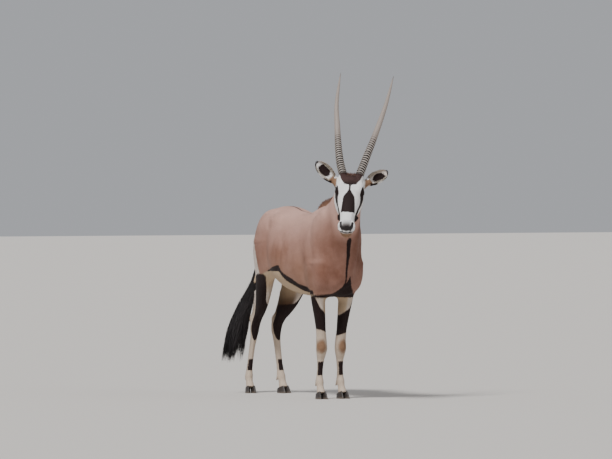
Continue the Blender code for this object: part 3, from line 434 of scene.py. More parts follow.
def head_masses():
    """Brows, cheeks, nose, lips and chin over the skull, then the nostrils and mouth cut in."""

    def lump(side, down, out, radii, blend, hollow=False):
        return Mass(on_head(side, down, out), radii, blend, HEAD_FRAME, hollow)

    shapes = [
        lump(0, 0.020, -0.034, (0.050, 0.046, 0.036), 0.03),
        lump(0, 0.366, -0.086, (0.029, 0.028, 0.017), 0.012),
        lump(0, 0.250, -0.012, (0.026, 0.100, 0.010), 0.02),
        lump(0, 0.362, -0.030, (0.028, 0.028, 0.022), 0.014),
    ]
    for side in (-1, 1):
        shapes += [
            lump(side * 0.055, 0.066, -0.024, (0.027, 0.044, 0.025), 0.022),
            lump(side * 0.056, 0.094, -0.050, (0.023, 0.038, 0.027), 0.018),
            lump(side * 0.047, 0.078, -0.122, (0.030, 0.072, 0.056), 0.03),
            lump(side * 0.041, 0.170, -0.064, (0.020, 0.070, 0.024), 0.03),
            lump(side * 0.034, 0.350, -0.034, (0.020, 0.028, 0.022), 0.014),
            lump(side * 0.024, 0.366, -0.049, (0.026, 0.027, 0.016), 0.010),
            lump(side * 0.052, -0.004, -0.075, (0.036, 0.044, 0.044), 0.03),
        ]
    solid = [skull(), *shapes]
    for side in (-1, 1):
        wing = on_muzzle(solid, MUZZLE_HEART, NOSTRIL_WAYS, side, 0.001)
        shapes.append(Cord(wing[0], wing[1], 0.0030, 0.0062, 0.003, hollow=True))
        shapes.append(Cord(wing[1], wing[2], 0.0062, 0.0034, 0.003, hollow=True))
        lips = on_muzzle(solid, MOUTH_HEART, LIP_WAYS, side, 0.0)
        for start, end in zip(lips[:-1], lips[1:]):
            shapes.append(Cord(start, end, 0.0030, 0.0030, 0.003, hollow=True))
    return shapes


def on_muzzle(solid, heart, ways, side, sunk):
    """Points on the muzzle's skin, seen from a point within it, sunk in a little."""
    inside = on_head(*heart)
    points = []
    for across, down, out in ways:
        toward = head_direction(side * across, down, out)
        points.append(surface_from(solid, inside, toward) - toward * sunk)
    return points


def eye_centre(name):
    """The middle of an eyeball."""
    side, down, out = EYE_PLACE
    return on_head(-side if name == "right" else side, down, out)


HORNS = {
    "right": (-0.050, -0.081, -0.111, -0.133, -0.128),
    "left": (0.050, 0.078, 0.129, 0.175, 0.203),
}
HORN_SHARES = (0.0, 0.15, 0.42, 0.72, 1.0)
HORN_FOOT = -0.022
HORN_LENGTH = 0.82


def horn_point(name, share):
    """The horn's centre line: back along the line of the face, spreading and bowing back."""
    side = float(smooth_through(HORN_SHARES, HORNS[name], share))
    return on_head(side, HORN_FOOT - HORN_LENGTH * share, -0.024 - 0.058 * share**2)


def horn_foot(name):
    """The middle of a horn's foot on the skull, and the way it rises."""
    point = horn_point(name, 0.0)
    return point, (horn_point(name, 0.01) - point).normalized()


def pedicels():
    """The two stout stumps of the skull that carry the horns."""
    shapes = []
    for name, side in (("right", -1), ("left", 1)):
        point, along = horn_foot(name)
        inside = on_head(side * 0.036, 0.035, -0.045)
        shapes.append(Cord(inside, point + along * 0.012, 0.0270, 0.0262, 0.012))
    return shapes


def eye_axes(name):
    """Out of the eye, along its slit toward the nose, and up across it."""
    outward = head_direction(-1 if name == "right" else 1, 0.10, 0.42)
    slit = head_direction(0, 1.0, -0.25)
    slit = (slit - outward * slit.dot(outward)).normalized()
    up = outward.cross(slit)
    return outward, slit, up if up.dot(OUT_FACE) > 0 else -up


def eye_sockets():
    """Lids: a rounded bulge over each eyeball, opened by an almond slit along the face."""
    shapes = []
    lid = EYE_RADIUS + 0.0036
    for name in ("right", "left"):
        centre, axes = eye_centre(name), eye_axes(name)
        slit = centre + axes[0] * (EYE_RADIUS * 0.92)
        shapes.append(Mass(centre, (lid, lid, lid), 0.012))
        shapes.append(Mass(slit, (0.0150, 0.0192, 0.0118), 0.002, axes, hollow=True))
    return shapes


# Each ear's root on the head and the way it points, in the head's own axes
EARS = {
    "right": ((-0.084, 0.012, -0.074), (-0.690, -0.700, 0.100)),
    "left": ((0.084, 0.006, -0.074), (0.664, -0.718, -0.210)),
}
# An ear from root to tip, as (distance along, half width, half depth, how far forward it bows)
EAR_SHAPE = (
    (-0.030, 0.021, 0.021, 0.000),
    (0.015, 0.020, 0.020, 0.000),
    (0.040, 0.028, 0.025, 0.000),
    (0.075, 0.0395, 0.033, 0.002),
    (0.110, 0.0435, 0.035, 0.003),
    (0.145, 0.0395, 0.030, 0.003),
    (0.175, 0.0285, 0.021, 0.002),
    (0.192, 0.0150, 0.012, 0.000),
    (EAR_LENGTH, 0.0040, 0.005, 0.000),
)


def ear_root(name):
    """An ear's root, the way it points, and the way across its cup."""
    base, lean = EARS[name]
    along = head_direction(*lean)
    toward = head_direction(0, 0.25, 1.0)
    front = (toward - along * toward.dot(along)).normalized()
    return on_head(*base), along, along.cross(front)


def ear_shapes(name):
    """A long leaf of an ear, its cup open to the front, on a round muscular root."""
    root, along, across = ear_root(name)
    front = across.cross(along)

    def leaf(shrink, forward, blend, hollow, first=0):
        stations = []
        for t, width, depth, lift in EAR_SHAPE[first:]:
            centre = root + along * t + front * (lift + forward)
            sizes = max(width - shrink, 0.002), max(depth - shrink * 0.5, 0.002)
            stations.append((root.dot(along) + t, centre, *sizes, 0.0))
        return Loft(along, across, stations, blend, hollow=hollow)

    return [leaf(0.0, 0.0, 0.022, False), leaf(0.0056, 0.0085, 0.003, True, first=2)]


def tail_dock():
    """The fleshy tail, hanging from the croup and swung a little to the animal's right."""
    profile = (
        (1.120, 0.000, 0.500, 0.030, 0.040),
        (1.050, 0.000, 0.606, 0.027, 0.032),
        (0.970, -0.008, 0.665, 0.020, 0.022),
        (0.870, -0.024, 0.692, 0.0165, 0.0175),
        (0.780, -0.040, 0.705, 0.0145, 0.0150),
        (0.700, -0.058, 0.714, 0.0130, 0.0135),
    )
    stations = [(z, (x, y, z), a, b, 0.0) for z, x, y, a, b in profile]
    return Loft((0, 0, 1), (1, 0, 0), stations, blend=0.035)


def surface_from(shapes, inside, toward, reach=0.35):
    """Where a ray from a point inside the flesh comes out through the hide."""
    steps = np.linspace(0, reach, 700)
    spots = [inside[k] + toward[k] * steps for k in range(3)]
    near = np.full(len(steps), FAR)
    for shape in shapes:
        near = blended(near, shape, shape.value(*spots))
    out = int(np.argmax(near > 0))
    share = near[out - 1] / (near[out - 1] - near[out])
    at = steps[out - 1] + share * (steps[1] - steps[0])
    return Vector(inside) + Vector(toward) * float(at)


def blended(near, shape, value):
    """Add one shape to a field, or hollow it out, with a soft crease of its blend."""
    k = max(shape.blend, 1e-4)
    if shape.hollow:
        soft = np.maximum(k - np.abs(near + value), 0) / k
        return np.maximum(near, -value) + soft * soft * k / 4
    soft = np.maximum(k - np.abs(near - value), 0) / k
    return np.minimum(near, value) - soft * soft * k / 4


def field_of(shapes, axes):
    """Signed distance, negative inside, of the blended shapes on a grid of these axes."""
    near = np.full([len(a) for a in axes], FAR)
    for shape in shapes:
        low, high = shape.box()
        margin = 2.0 * shape.blend + BEYOND
        cells = [slice(*np.searchsorted(a, (lo - margin, hi + margin))) for a, lo, hi in zip(axes, low, high)]
        if any(c.start >= c.stop for c in cells):
            continue
        spots = np.meshgrid(*(a[c] for a, c in zip(axes, cells)), indexing="ij")
        here = near[tuple(cells)]
        near[tuple(cells)] = blended(here, shape, shape.value(*spots))
    return near


def flesh():
    """Every shape of the animal's body, in the order in which they blend."""
    shapes = [trunk(), *body_masses(), neck()]
    for name in LEGS:
        shapes += leg_shapes(name) + (hock_point(name) if "hind" in name else [])
    shapes += [tail_dock(), skull(), *head_masses(), *pedicels()]
    for name in EARS:
        shapes += ear_shapes(name)
    shapes += eye_sockets()
    return shapes


SHAPES = flesh()

# The CAD puts its bounding box over the origin, so the body is shifted the same way at the end
eye_low, eye_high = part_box("eye_left")
SHIFT = np.array((eye_low + eye_high) / 2 - eye_centre("left"))


# Skin
# One unbroken hide over the whole body, from the lips to the coronets and the root of the tail hair.
# It lies inside the solids by the depth of its coat: 3 mm on the body, 1.2 mm on the face and ears.
BODY_CELL = 0.0062
HEAD_CELL = 0.0025
BODY_COAT, LEG_COAT, FACE_COAT = 0.0030, 0.0018, 0.0012
PARTING = 0.003


def ramp(value, low, high):
    """0 below low, 1 above high, and a smooth rise between them."""
    u = np.clip((value - low) / (high - low), 0, 1)
    return u * u * (3 - 2 * u)


def head_place(x, y, z):
    """Across, down and out of the face, for arrays of points."""
    return [dot(axis, x - POLL.x, y - POLL.y, z - POLL.z) for axis in HEAD_FRAME]


def headness(x, y, z):
    """1 on the head and ears, 0 on the neck and body."""
    side, down, out = head_place(x, y, z)
    return ramp(0.474 * down + 0.88 * out + 0.142, 0.0, 0.05) * ramp(0.3 - out - down, -0.3, 0)


def coat_depth(x, y, z):
    """How thick the coat lies over the skin."""
    head = headness(x, y, z)
    leg = ramp(0.66 - z, 0.0, 0.12) * ramp(np.abs(x), 0.0, 0.02)
    body = BODY_COAT + (LEG_COAT - BODY_COAT) * leg
    return body + (FACE_COAT - body) * head


def foot_of(name):
    """The middle of a foot's sole, and the way its toes point."""
    rows, top, blend, side, foot_back, toe_out = leg_of(name)
    x, y = rows[-1][1:3]
    turn = Matrix.Rotation(math.radians(side * toe_out), 3, "Z")
    return Vector((side * x, y + foot_back, 0)), turn @ Vector((0, -1, 0))


CORONET_FRONT, CORONET_BACK, CORONET_LENGTH = 0.054, 0.030, 0.065


def coronet_plane(name):
    """The slanting plane where hair ends and hoof begins."""
    foot, toes = foot_of(name)
    rise = (CORONET_FRONT - CORONET_BACK) / CORONET_LENGTH
    middle = foot + Vector((0, 0, (CORONET_FRONT + CORONET_BACK) / 2))
    return middle, (Vector((0, 0, 1)) - toes * rise).normalized()


def past_coronet(x, y, z, sunk=0.005):
    """Above 0 where a point lies below the hair's end, inside a hoof."""
    past = np.full(np.broadcast(x, y, z).shape, -FAR)
    for name in LEGS:
        middle, up = coronet_plane(name)
        below = -dot(up, x - middle.x, y - middle.y, z - middle.z) - sunk
        near = (np.abs(x - middle.x) < 0.07) & (np.abs(y - middle.y) < 0.11) & (z < 0.12)
        past = np.where(near, below, past)
    return past


def quads_between(low, high, cell):
    """The skin's surface inside a box, on a grid of cells, as points and four-sided faces."""
    axes = [np.arange(lo, hi + cell, cell) for lo, hi in zip(low, high)]
    near = field_of(SHAPES, axes)
    sparse = np.meshgrid(*axes, indexing="ij", sparse=True)
    near += coat_depth(*sparse)
    near = np.maximum(near, past_coronet(*sparse))
    for axis in range(3):
        for wall in (0, -1):
            face = [slice(None)] * 3
            face[axis] = wall
            near[tuple(face)] = np.maximum(near[tuple(face)], cell)
    grid = openvdb.FloatGrid(FAR)
    grid.copyFromArray(near.astype(np.float32))
    points, quads = grid.convertToQuads(0.0)
    return points * cell + np.array(low), quads


def open_cut(points, quads, point, outward):
    """A mesh of those faces with everything beyond a plane cut off and left open."""
    bm = bmesh.new()
    mesh = bpy.data.meshes.new("cut")
    mesh.from_pydata(points.tolist(), [], quads.tolist())
    bm.from_mesh(mesh)
    bpy.data.meshes.remove(mesh)
    geometry = bm.verts[:] + bm.edges[:] + bm.faces[:]
    bmesh.ops.bisect_plane(bm, geom=geometry, plane_co=point, plane_no=outward, clear_outer=True)
    return bm


def joined_skin():
    """Head and body meshes at their own fineness, joined by a ring of faces round the upper neck."""
    parting, ahead = Vector((-0.02, -0.56, 1.22)), Vector((0, -0.70, 0.71))
    body = quads_between((-0.28, -0.84, 0.02), (0.28, 0.78, 1.48), BODY_CELL)
    head = quads_between((-0.26, -0.98, 0.96), (0.30, -0.40, 1.53), HEAD_CELL)
    bm = open_cut(*body, parting - ahead * PARTING / 2, ahead)
    front = open_cut(*head, parting + ahead * PARTING / 2, -ahead)
    mesh = bpy.data.meshes.new("hide")
    front.to_mesh(mesh)
    front.free()
    bm.from_mesh(mesh)
    drop_scraps(bm)
    rims = [e for e in bm.edges if e.is_boundary]
    bmesh.ops.bridge_loops(bm, edges=rims)
    bmesh.ops.triangulate(bm, faces=bm.faces)
    bmesh.ops.recalc_face_normals(bm, faces=bm.faces)
    bm.to_mesh(mesh)
    bm.free()
    return mesh


def drop_scraps(bm):
    """Delete every loose scrap, so that the two largest shells, body and head, are left."""
    left = set(bm.faces)
    shells = []
    while left:
        front = [left.pop()]
        shell = list(front)
        while front:
            for edge in front.pop().edges:
                for face in edge.link_faces:
                    if face in left:
                        left.discard(face)
                        front.append(face)
                        shell.append(face)
        shells.append(shell)
    shells.sort(key=len)
    for shell in shells[:-2]:
        bmesh.ops.delete(bm, geom=shell, context="FACES")


def flesh_value(spots):
    """The signed distance to the skin at scattered points."""
    x, y, z = spots.T
    near = np.full(len(spots), FAR)
    for shape in SHAPES:
        low, high = shape.box()
        margin = 2.0 * shape.blend + BEYOND
        close = np.all((spots > np.array(low) - margin) & (spots < np.array(high) + margin), axis=1)
        here = np.flatnonzero(close)
        if len(here):
            near[here] = blended(near[here], shape, shape.value(x[here], y[here], z[here]))
    near = near + coat_depth(x, y, z) + fold_depth(x, y, z)
    return np.maximum(near, past_coronet(x, y, z))


# Folds of loose hide on both sides of the body, as (half width, depth, points down the fold)
SHOULDER_FOLD = (
    (0.150, -0.300, 1.09),
    (0.162, -0.326, 1.03),
    (0.171, -0.358, 0.905),
    (0.175, -0.382, 0.782),
    (0.15, -0.34, 0.67),
)
FLANK_FOLD = (
    (0.185, 0.045, 1.00),
    (0.198, 0.018, 0.935),
    (0.208, 0.034, 0.857),
    (0.205, 0.070, 0.812),
)
FOLDS = (
    (0.033, 0.0055, SHOULDER_FOLD),
    (0.045, 0.0030, ((0.130, -0.150, 1.04), (0.175, -0.185, 0.87), (0.160, -0.240, 0.69))),
    (0.030, 0.0050, FLANK_FOLD),
    (0.045, 0.0030, ((0.135, 0.265, 1.04), (0.170, 0.250, 0.91), (0.175, 0.215, 0.79))),
    (0.028, 0.0030, ((0.050, -0.575, 0.95), (0.075, -0.540, 0.82), (0.085, -0.510, 0.70))),
    (0.030, 0.0030, ((0.095, -0.480, 1.06), (0.130, -0.470, 0.94), (0.140, -0.450, 0.82))),
    (0.034, 0.0030, ((0.090, 0.520, 1.00), (0.110, 0.560, 0.86), (0.100, 0.570, 0.74))),
)
RIB_WAVES = 34.0
RIB_DEPTH = 0.0011


def fold_depth(x, y, z):
    """Creases where loose hide folds over the shoulders, flanks and breast, and the hint of the ribs."""
    depth = np.zeros(len(x))
    wide = np.abs(x)
    for half, deep, line in FOLDS:
        nearest = np.full(len(x), FAR)
        for start, end in zip(line[:-1], line[1:]):
            nearest = np.minimum(nearest, Cord(start, end, 0, 0, 0).value(wide, y, z))
        depth += deep * np.exp(-((nearest / half) ** 2))
    on_ribs = ramp(y, -0.16, -0.02) * ramp(0.24 - y, 0, 0.12) * ramp(z, 0.74, 0.84) * ramp(1.04 - z, 0, 0.1)
    depth += RIB_DEPTH * on_ribs * ramp(wide, 0.08, 0.14) * np.sin((y * 2.6 + z * 0.6) * RIB_WAVES)
    return depth


def outward_at(spots, value, reach=0.0008):
    """The way out of the body at scattered points, and how steeply the distance grows."""
    slope = np.stack([(flesh_value(spots + reach * step) - value) / reach for step in np.eye(3)], axis=1)
    steep = np.maximum(np.linalg.norm(slope, axis=1, keepdims=True), 0.25)
    return slope / steep, steep[:, 0]


def settle_on_flesh(spots, rounds=3):
    """Move the grid's points onto the exact surface, so that no grid steps show."""
    for _ in range(rounds):
        value = flesh_value(spots)
        outward, steep = outward_at(spots, value)
        step = np.clip(value / steep, -0.002, 0.002)
        spots = spots - outward * step[:, None]
    return spots


def coordinates(mesh):
    """Every point of a mesh."""
    flat = np.empty(len(mesh.vertices) * 3)
    mesh.vertices.foreach_get("co", flat)
    return flat.reshape(-1, 3)


def triangles_of(mesh):
    """The three points of each face of a mesh, by number."""
    flat = np.empty(len(mesh.polygons) * 3, np.int64)
    mesh.polygons.foreach_get("vertices", flat)
    return flat.reshape(-1, 3)


def link(name, mesh):
    """An object of a mesh, put in the scene."""
    obj = bpy.data.objects.new(name, mesh)
    bpy.context.scene.collection.objects.link(obj)
    return obj


def settled(obj):
    """A plain mesh of an object as its modifiers leave it. The object itself goes."""
    ready = bpy.context.evaluated_depsgraph_get()
    mesh = bpy.data.meshes.new_from_object(obj.evaluated_get(ready))
    bpy.data.objects.remove(obj)
    return mesh


SKIN_TRIANGLES = 196000
draft = link("draft", joined_skin())
thin = draft.modifiers.new("thin", "DECIMATE")
thin.ratio = SKIN_TRIANGLES / len(draft.data.polygons)
thin.use_collapse_triangulate = True
skin_mesh = settled(draft)
skin_points = settle_on_flesh(coordinates(skin_mesh))
skin_faces = triangles_of(skin_mesh)
skin_out = outward_at(skin_points, flesh_value(skin_points))[0]


# Markings
# The coat's colours are laid out as signed distances in metres, above 0 inside a marking, so that their
# edges stay crisp between the skin's points. Black: nose blaze, eye stripes, throat, flank, thighs,
# forearms, shins and back stripe. White: face, belly, buttocks and legs. Tan: knees, chin and poll.


BETWEEN_LEGS = 0.02
FLANK_Y = (-0.40, -0.288, -0.16, -0.096, -0.01, 0.054, 0.10, 0.166, 0.27, 0.34, 0.42)
FLANK_Z = (0.655, 0.668, 0.690, 0.722, 0.757, 0.806, 0.803, 0.797, 0.789, 0.770, 0.760)
# The throat's stripe from chin to breast, as points down its middle and its half width at each
THROAT = (
    on_head(0, 0.315, -0.115),
    on_head(0, 0.22, -0.150),
    on_head(0, 0.13, -0.190),
    (-0.016, -0.596, 0.972),
    (-0.003, -0.561, 0.891),
    (-0.008, -0.546, 0.800),
    (-0.006, -0.530, 0.745),
    (-0.004, -0.498, 0.690),
)
THROAT_HALVES = (0.010, 0.012, 0.014, 0.0150, 0.0125, 0.0070, 0.0060, 0.0120)


def band(at, knots, edges):
    """An edge's place at a value, by the places given at some values."""
    return smooth_through(knots, edges, at)


def least(*zones):
    """Inside all of these zones."""
    return np.minimum.reduce(zones)


def most(*zones):
    """Inside any of these zones."""
    return np.maximum.reduce(zones)


def on_leg(name, x, y, z):
    """Where a leg's own points are, then outward and forward of its middle as shares of its half sizes."""
    rows, top, blend, side, foot_back, toe_out = leg_of(name)
    table = np.array(sorted(rows), float)
    cx, cy, width, depth = (band(z, table[:, 0], table[:, k]) for k in range(1, 5))
    cy = cy + leg_sway(z, top, foot_back)
    own = (side * x > -0.005) & ((y < BETWEEN_LEGS) if "fore" in name else (y > BETWEEN_LEGS))
    return own, (side * x - cx) / width, (cy - y) / depth, width


# The top of the black patch on a hind leg, at shares of its half width from the inner side out
HIND_PATCH_TOP = ((-1, 0, 0.45, 0.62, 0.8, 1), (0.565, 0.575, 0.600, 0.680, 0.745, 0.768))


def dark_parts(x, y, z):
    """Inside the black markings of the body and legs."""
    line = band(y, FLANK_Y, FLANK_Z)
    wide = np.abs(x)
    flank_half = band(y, (-0.33, -0.29, -0.10, 0.0, 0.06), (0.013, 0.016, 0.024, 0.021, 0.020))
    flank = least(0.8 * (flank_half - np.abs(z - line)), wide - 0.06, y + 0.338, 0.07 - y)
    garter = band(y, (0.05, 0.10, 0.17, 0.28), (0.020, 0.016, 0.011, 0.004)) - np.abs(z - line)
    garter = least(garter, y - 0.035, 0.29 - y, wide - 0.09)
    chest_top = (0.768, 0.742, 0.706, 0.682, 0.664, 0.654, 0.650)
    chest = band(np.abs(x - 0.02), (0, 0.012, 0.03, 0.05, 0.07, 0.10, 0.15), chest_top) - z
    chest = least(0.5 * chest, z - 0.632, -0.33 - y)
    back = band(y, (-0.15, 0.10, 0.40, 0.60), (0.0025, 0.0045, 0.010, 0.020)) - wide
    back = least(back, z - 0.98, y + 0.16)
    dock = least(0.0005 - tail_dock().value(x, y, z), y - 0.50, 0.05 - wide)
    parts = zip(THROAT[:-1], THROAT[1:], THROAT_HALVES[:-1], THROAT_HALVES[1:])
    throat = most(*(-Cord(*part, 0).value(x, y, z) for part in parts))
    zones = [flank, garter, chest, back, dock, throat]
    for name in LEGS:
        own, out, ahead, width = on_leg(name, x, y, z)
        if "fore" in name:
            top = band(out, (-1, -0.3, 0.35, 0.8, 1), (0.520, 0.545, 0.570, 0.630, 0.655))
            low = band(out, (-1, 0, 1), (0.400, 0.412, 0.424)) + (0.012 if "right" in name else -0.006)
            bar_top, bar_low, bar_half, bar_middle = 0.234, 0.148, 0.84, 0.08
        else:
            top = band(out, *HIND_PATCH_TOP)
            top = np.where(ahead > 1.25, 0.60, top)
            low = band(ahead, (-1, -0.8, -0.5, 0, 0.5, 1), (0.640, 0.580, 0.520, 0.430, 0.365, 0.330))
            bar_top, bar_low, bar_half, bar_middle = 0.218, 0.145, 0.80, 0.10
        across = width * (bar_half - np.abs(out - bar_middle))
        bar = least(bar_top - z, z - bar_low, across, ahead * 0.02)
        patch = 0.6 * np.minimum(top - z, z - low)
        zones.append(np.where(own, np.maximum(patch, bar), -FAR))
    return most(*zones)


STRIPE_DOWN = (0.05, 0.08, 0.118, 0.145, 0.18, 0.225, 0.265, 0.30)
STRIPE_SIDE = (0.0770, 0.0725, 0.0650, 0.0700, 0.0665, 0.0550, 0.0465, 0.0430)
STRIPE_OUT = (-0.004, -0.008, -0.018, -0.038, -0.045, -0.040, -0.040, -0.042)


def dark_face(x, y, z):
    """Inside the black markings of the head, from places on the face itself."""
    s, d, o = head_place(x, y, z)
    s = np.abs(s)
    blaze_down = (0.100, 0.108, 0.118, 0.132, 0.156, 0.19, 0.24, 0.275)
    blaze = band(d, blaze_down, (0.0045, 0.0065, 0.0115, 0.0195, 0.0345, 0.0385, 0.0415, 0.0430)) - s
    blaze = least(blaze, d - 0.100, 0.272 - d - 0.5 * np.maximum(s - 0.018, 0), o + 0.045)
    thread = least(0.0055 - s, d - 0.05, 0.118 - d)
    brow_down = (-0.03, 0.0, 0.023, 0.034, 0.054, 0.063, 0.069, 0.0735)
    brow = band(d, brow_down, (0.075, 0.064, 0.0575, 0.053, 0.0425, 0.038, 0.014, 0.004)) - s
    brow = least(brow, 0.074 - d, o + 0.05, d + 0.06)
    inner = (s - band(d, STRIPE_DOWN, STRIPE_SIDE) + band(d, STRIPE_DOWN, STRIPE_OUT) - o) * 0.7
    low_down = (0.0, 0.05, 0.10, 0.17, 0.22, 0.27, 0.33)
    low = band(d, low_down, (-0.070, -0.078, -0.088, -0.110, -0.128, -0.110, -0.090))
    top = 0.45 * (d - 0.030 - 1.9 * np.clip(0.098 - s, 0, 0.03))
    stripe = least(inner, o - low, 0.303 - d - 8 * (o + 0.062) ** 2, top, -0.002 - o)
    strap = least(0.022 - np.abs(d - 0.215 - 0.20 * (o + 0.11)), -0.080 - o, o + 0.190, 0.068 - s)
    return most(blaze, thread, brow, stripe, strap)


def pale_parts(x, y, z):
    """Inside the white of the belly, legs and buttocks."""
    ahead = band(y, (-0.60, -0.45, -0.40, -0.33, -0.288), (0.600, 0.636, 0.642, 0.655, 0.668))
    line = np.where(y < -0.288, ahead, band(y, FLANK_Y, FLANK_Z))
    below = 0.8 * (line - z)
    rear = y - band(z, (0.66, 0.77, 0.88, 0.98, 1.04), (0.330, 0.385, 0.425, 0.490, 0.560))
    rear = least(rear, 1.02 - z, z - 0.60)
    return np.maximum(below, rear)


def pale_face(x, y, z):
    """Inside the white of the head, ahead of the jaw's corners."""
    s, d, o = head_place(x, y, z)
    return (d - 0.010) * 0.376 + (o + 0.085) * 0.926


MOUTH_DOWN = (0.28, 0.32, 0.346, 0.372, 0.389, 0.398)
MOUTH_OUT = (-0.082, -0.074, -0.0620, -0.0520, -0.0455, -0.0420)


def tan_parts(x, y, z):
    """Inside the tan patches: the knees, the chin and the fringe of the poll."""
    s, d, o = head_place(x, y, z)
    chin = least(band(d, MOUTH_DOWN, MOUTH_OUT) - 0.0055 - o, d - 0.350, 0.038 - np.abs(s))
    poll = 0.022 - np.sqrt(s * s * 0.7 + (d + 0.034) ** 2 + (o + 0.034) ** 2)
    root = least(np.abs(s) - 0.086, 0.045 - d, d + 0.05, -0.030 - o, o + 0.080)
    zones = [np.where(headness(x, y, z) > 0.5, most(chin, poll, root), -FAR)]
    for name in LEGS:
        own, out, ahead, width = on_leg(name, x, y, z)
        if "fore" in name:
            middle = 0.36 if "right" in name else 0.04
            from_knee = np.sqrt(((z - 0.328) / 0.043) ** 2 + ((out - middle) / 0.78) ** 2)
            knee = np.minimum(0.018 * (1 - from_knee), ahead * 0.03)
            zones.append(np.where(own, knee, -FAR))
    return most(*zones)


def cream_stain_and_shade(x, y, z):
    """0 where white hair is clean, 1 where it is stained cream and darkened with painted shade: belly and
    inner thighs, which face away from the light.
    """
    belly = ramp(z, 0.50, 0.62) * ramp(y, -0.42, -0.30) * ramp(0.42 - y, 0, 0.08)
    inner = np.zeros(len(x))
    for name in LEGS:
        own, out, ahead, width = on_leg(name, x, y, z)
        low = 0.49 if "fore" in name else 0.46
        inner = np.maximum(inner, own * ramp(-out, -0.10, 0.45) * ramp(z, low, low + 0.06))
    legs = 0.6 * ramp(0.62 - z, 0, 0.1)
    return most(belly, inner, legs)


def inner_shade(x, y, z):
    """How dark the inside of the left thigh turns above its black patch: painted shade under the belly."""
    own, out, ahead, width = on_leg("hind_left", x, y, z)
    top = band(out, (-1, 0, 0.45, 0.62), (0.565, 0.575, 0.600, 0.680))
    return own * ramp(top + 0.12 - z, 0, 0.12) * ramp(-out, -0.3, 0.3) * ramp(z, 0.46, 0.54)


def ear_place(name, x, y, z):
    """Along an ear from its root, across its cup and out of its front."""
    root, along, across = ear_root(name)
    front = across.cross(along)
    return [dot(axis, x - root.x, y - root.y, z - root.z) for axis in (along, across, front)]


EAR_ALONG, EAR_HALF, EAR_DEEP = list(zip(*EAR_SHAPE))[:3]


def in_cup(t, a, f):
    """True on the hollow front of an ear, false on its back."""
    half, deep = band(t, EAR_ALONG, EAR_HALF), band(t, EAR_ALONG, EAR_DEEP)
    wall = 0.0055 - deep * np.sqrt(np.clip(1 - (a / half) ** 2, 0, 1))
    return (f > wall) & (t > 0.045)


def ear_share(t, a, f):
    """1 on an ear beyond its root, 0 elsewhere."""
    return ramp(t, 0.015, 0.040) * (np.abs(a) < 0.07) * (np.abs(f) < 0.06) * (t < 0.23)


def ear_marks(x, y, z):
    """On the ears: dark in the cup, a black tip and outer rim, white between them and a tan back."""
    dark, on_ear, tan = np.full(len(x), -FAR), np.zeros(len(x)), np.full(len(x), -FAR)
    for name in EARS:
        t, a, f = ear_place(name, x, y, z)
        near = ear_share(t, a, f)
        cup = in_cup(t, a, f)
        outer = a * (1 if name == "left" else -1)
        middle = -0.003 if name == "right" else 0.006
        heart = 0.030 * (1 - np.sqrt(((t - 0.125) / 0.044) ** 2 + ((outer - middle) / 0.0330) ** 2))
        heart = np.where(cup, heart, -0.01)
        rim = outer - band(t, (0.12, 0.15, 0.175, 0.19, 0.2), (0.040, 0.0325, 0.019, 0.004, -0.02))
        rim = np.minimum(t - 0.125, rim)
        foot = least(t - 0.005, 0.075 - t, outer - 0.0165)
        dark = np.where(near > 0.5, most(heart, rim, t - 0.188, foot), dark)
        edge = 0.5 * (-outer - 0.72 * band(t, EAR_ALONG, EAR_HALF))
        back = np.where(outer < -0.008, np.minimum(0.01, t - 0.080), 0.01)
        tan = np.where(near > 0.5, np.where(cup, np.maximum(0.064 - t, edge), back), tan)
        on_ear = np.maximum(on_ear, near)
    return dark, on_ear, tan


def plane_distance(p, q, start, end):
    """How far points of a plane lie from a line between two of them."""
    step = (end[0] - start[0], end[1] - start[1])
    along = ((p - start[0]) * step[0] + (q - start[1]) * step[1]) / (step[0] ** 2 + step[1] ** 2)
    along = np.clip(along, 0, 1)
    return np.hypot(p - start[0] - along * step[0], q - start[1] - along * step[1])


def bare_parts(x, y, z):
    """Inside the hairless moist skin: the slanting nostrils, the pad under them and the lips."""
    s, d, o = head_place(x, y, z)
    s = np.abs(s)
    upper = plane_distance(s, d, (0.0365, 0.340), (0.0340, 0.362))
    arm = 0.0072 - np.minimum(upper, plane_distance(s, d, (0.0340, 0.362), (0.022, 0.380)))
    arm = np.minimum(arm, o + 0.040)
    pad = least(0.027 - s, d - 0.3700, o + 0.0245 + 0.10 * s)
    parting = least(0.0018 - s, d - 0.37, o + 0.042)
    mouth = 0.0012 + 0.045 * np.clip(d - 0.30, 0, 0.09) - np.abs(o - band(d, MOUTH_DOWN, MOUTH_OUT))
    mouth = np.minimum(mouth, d - 0.295)
    bare = most(arm, pad, parting, mouth)
    return np.where(headness(x, y, z) > 0.5, bare, -FAR)


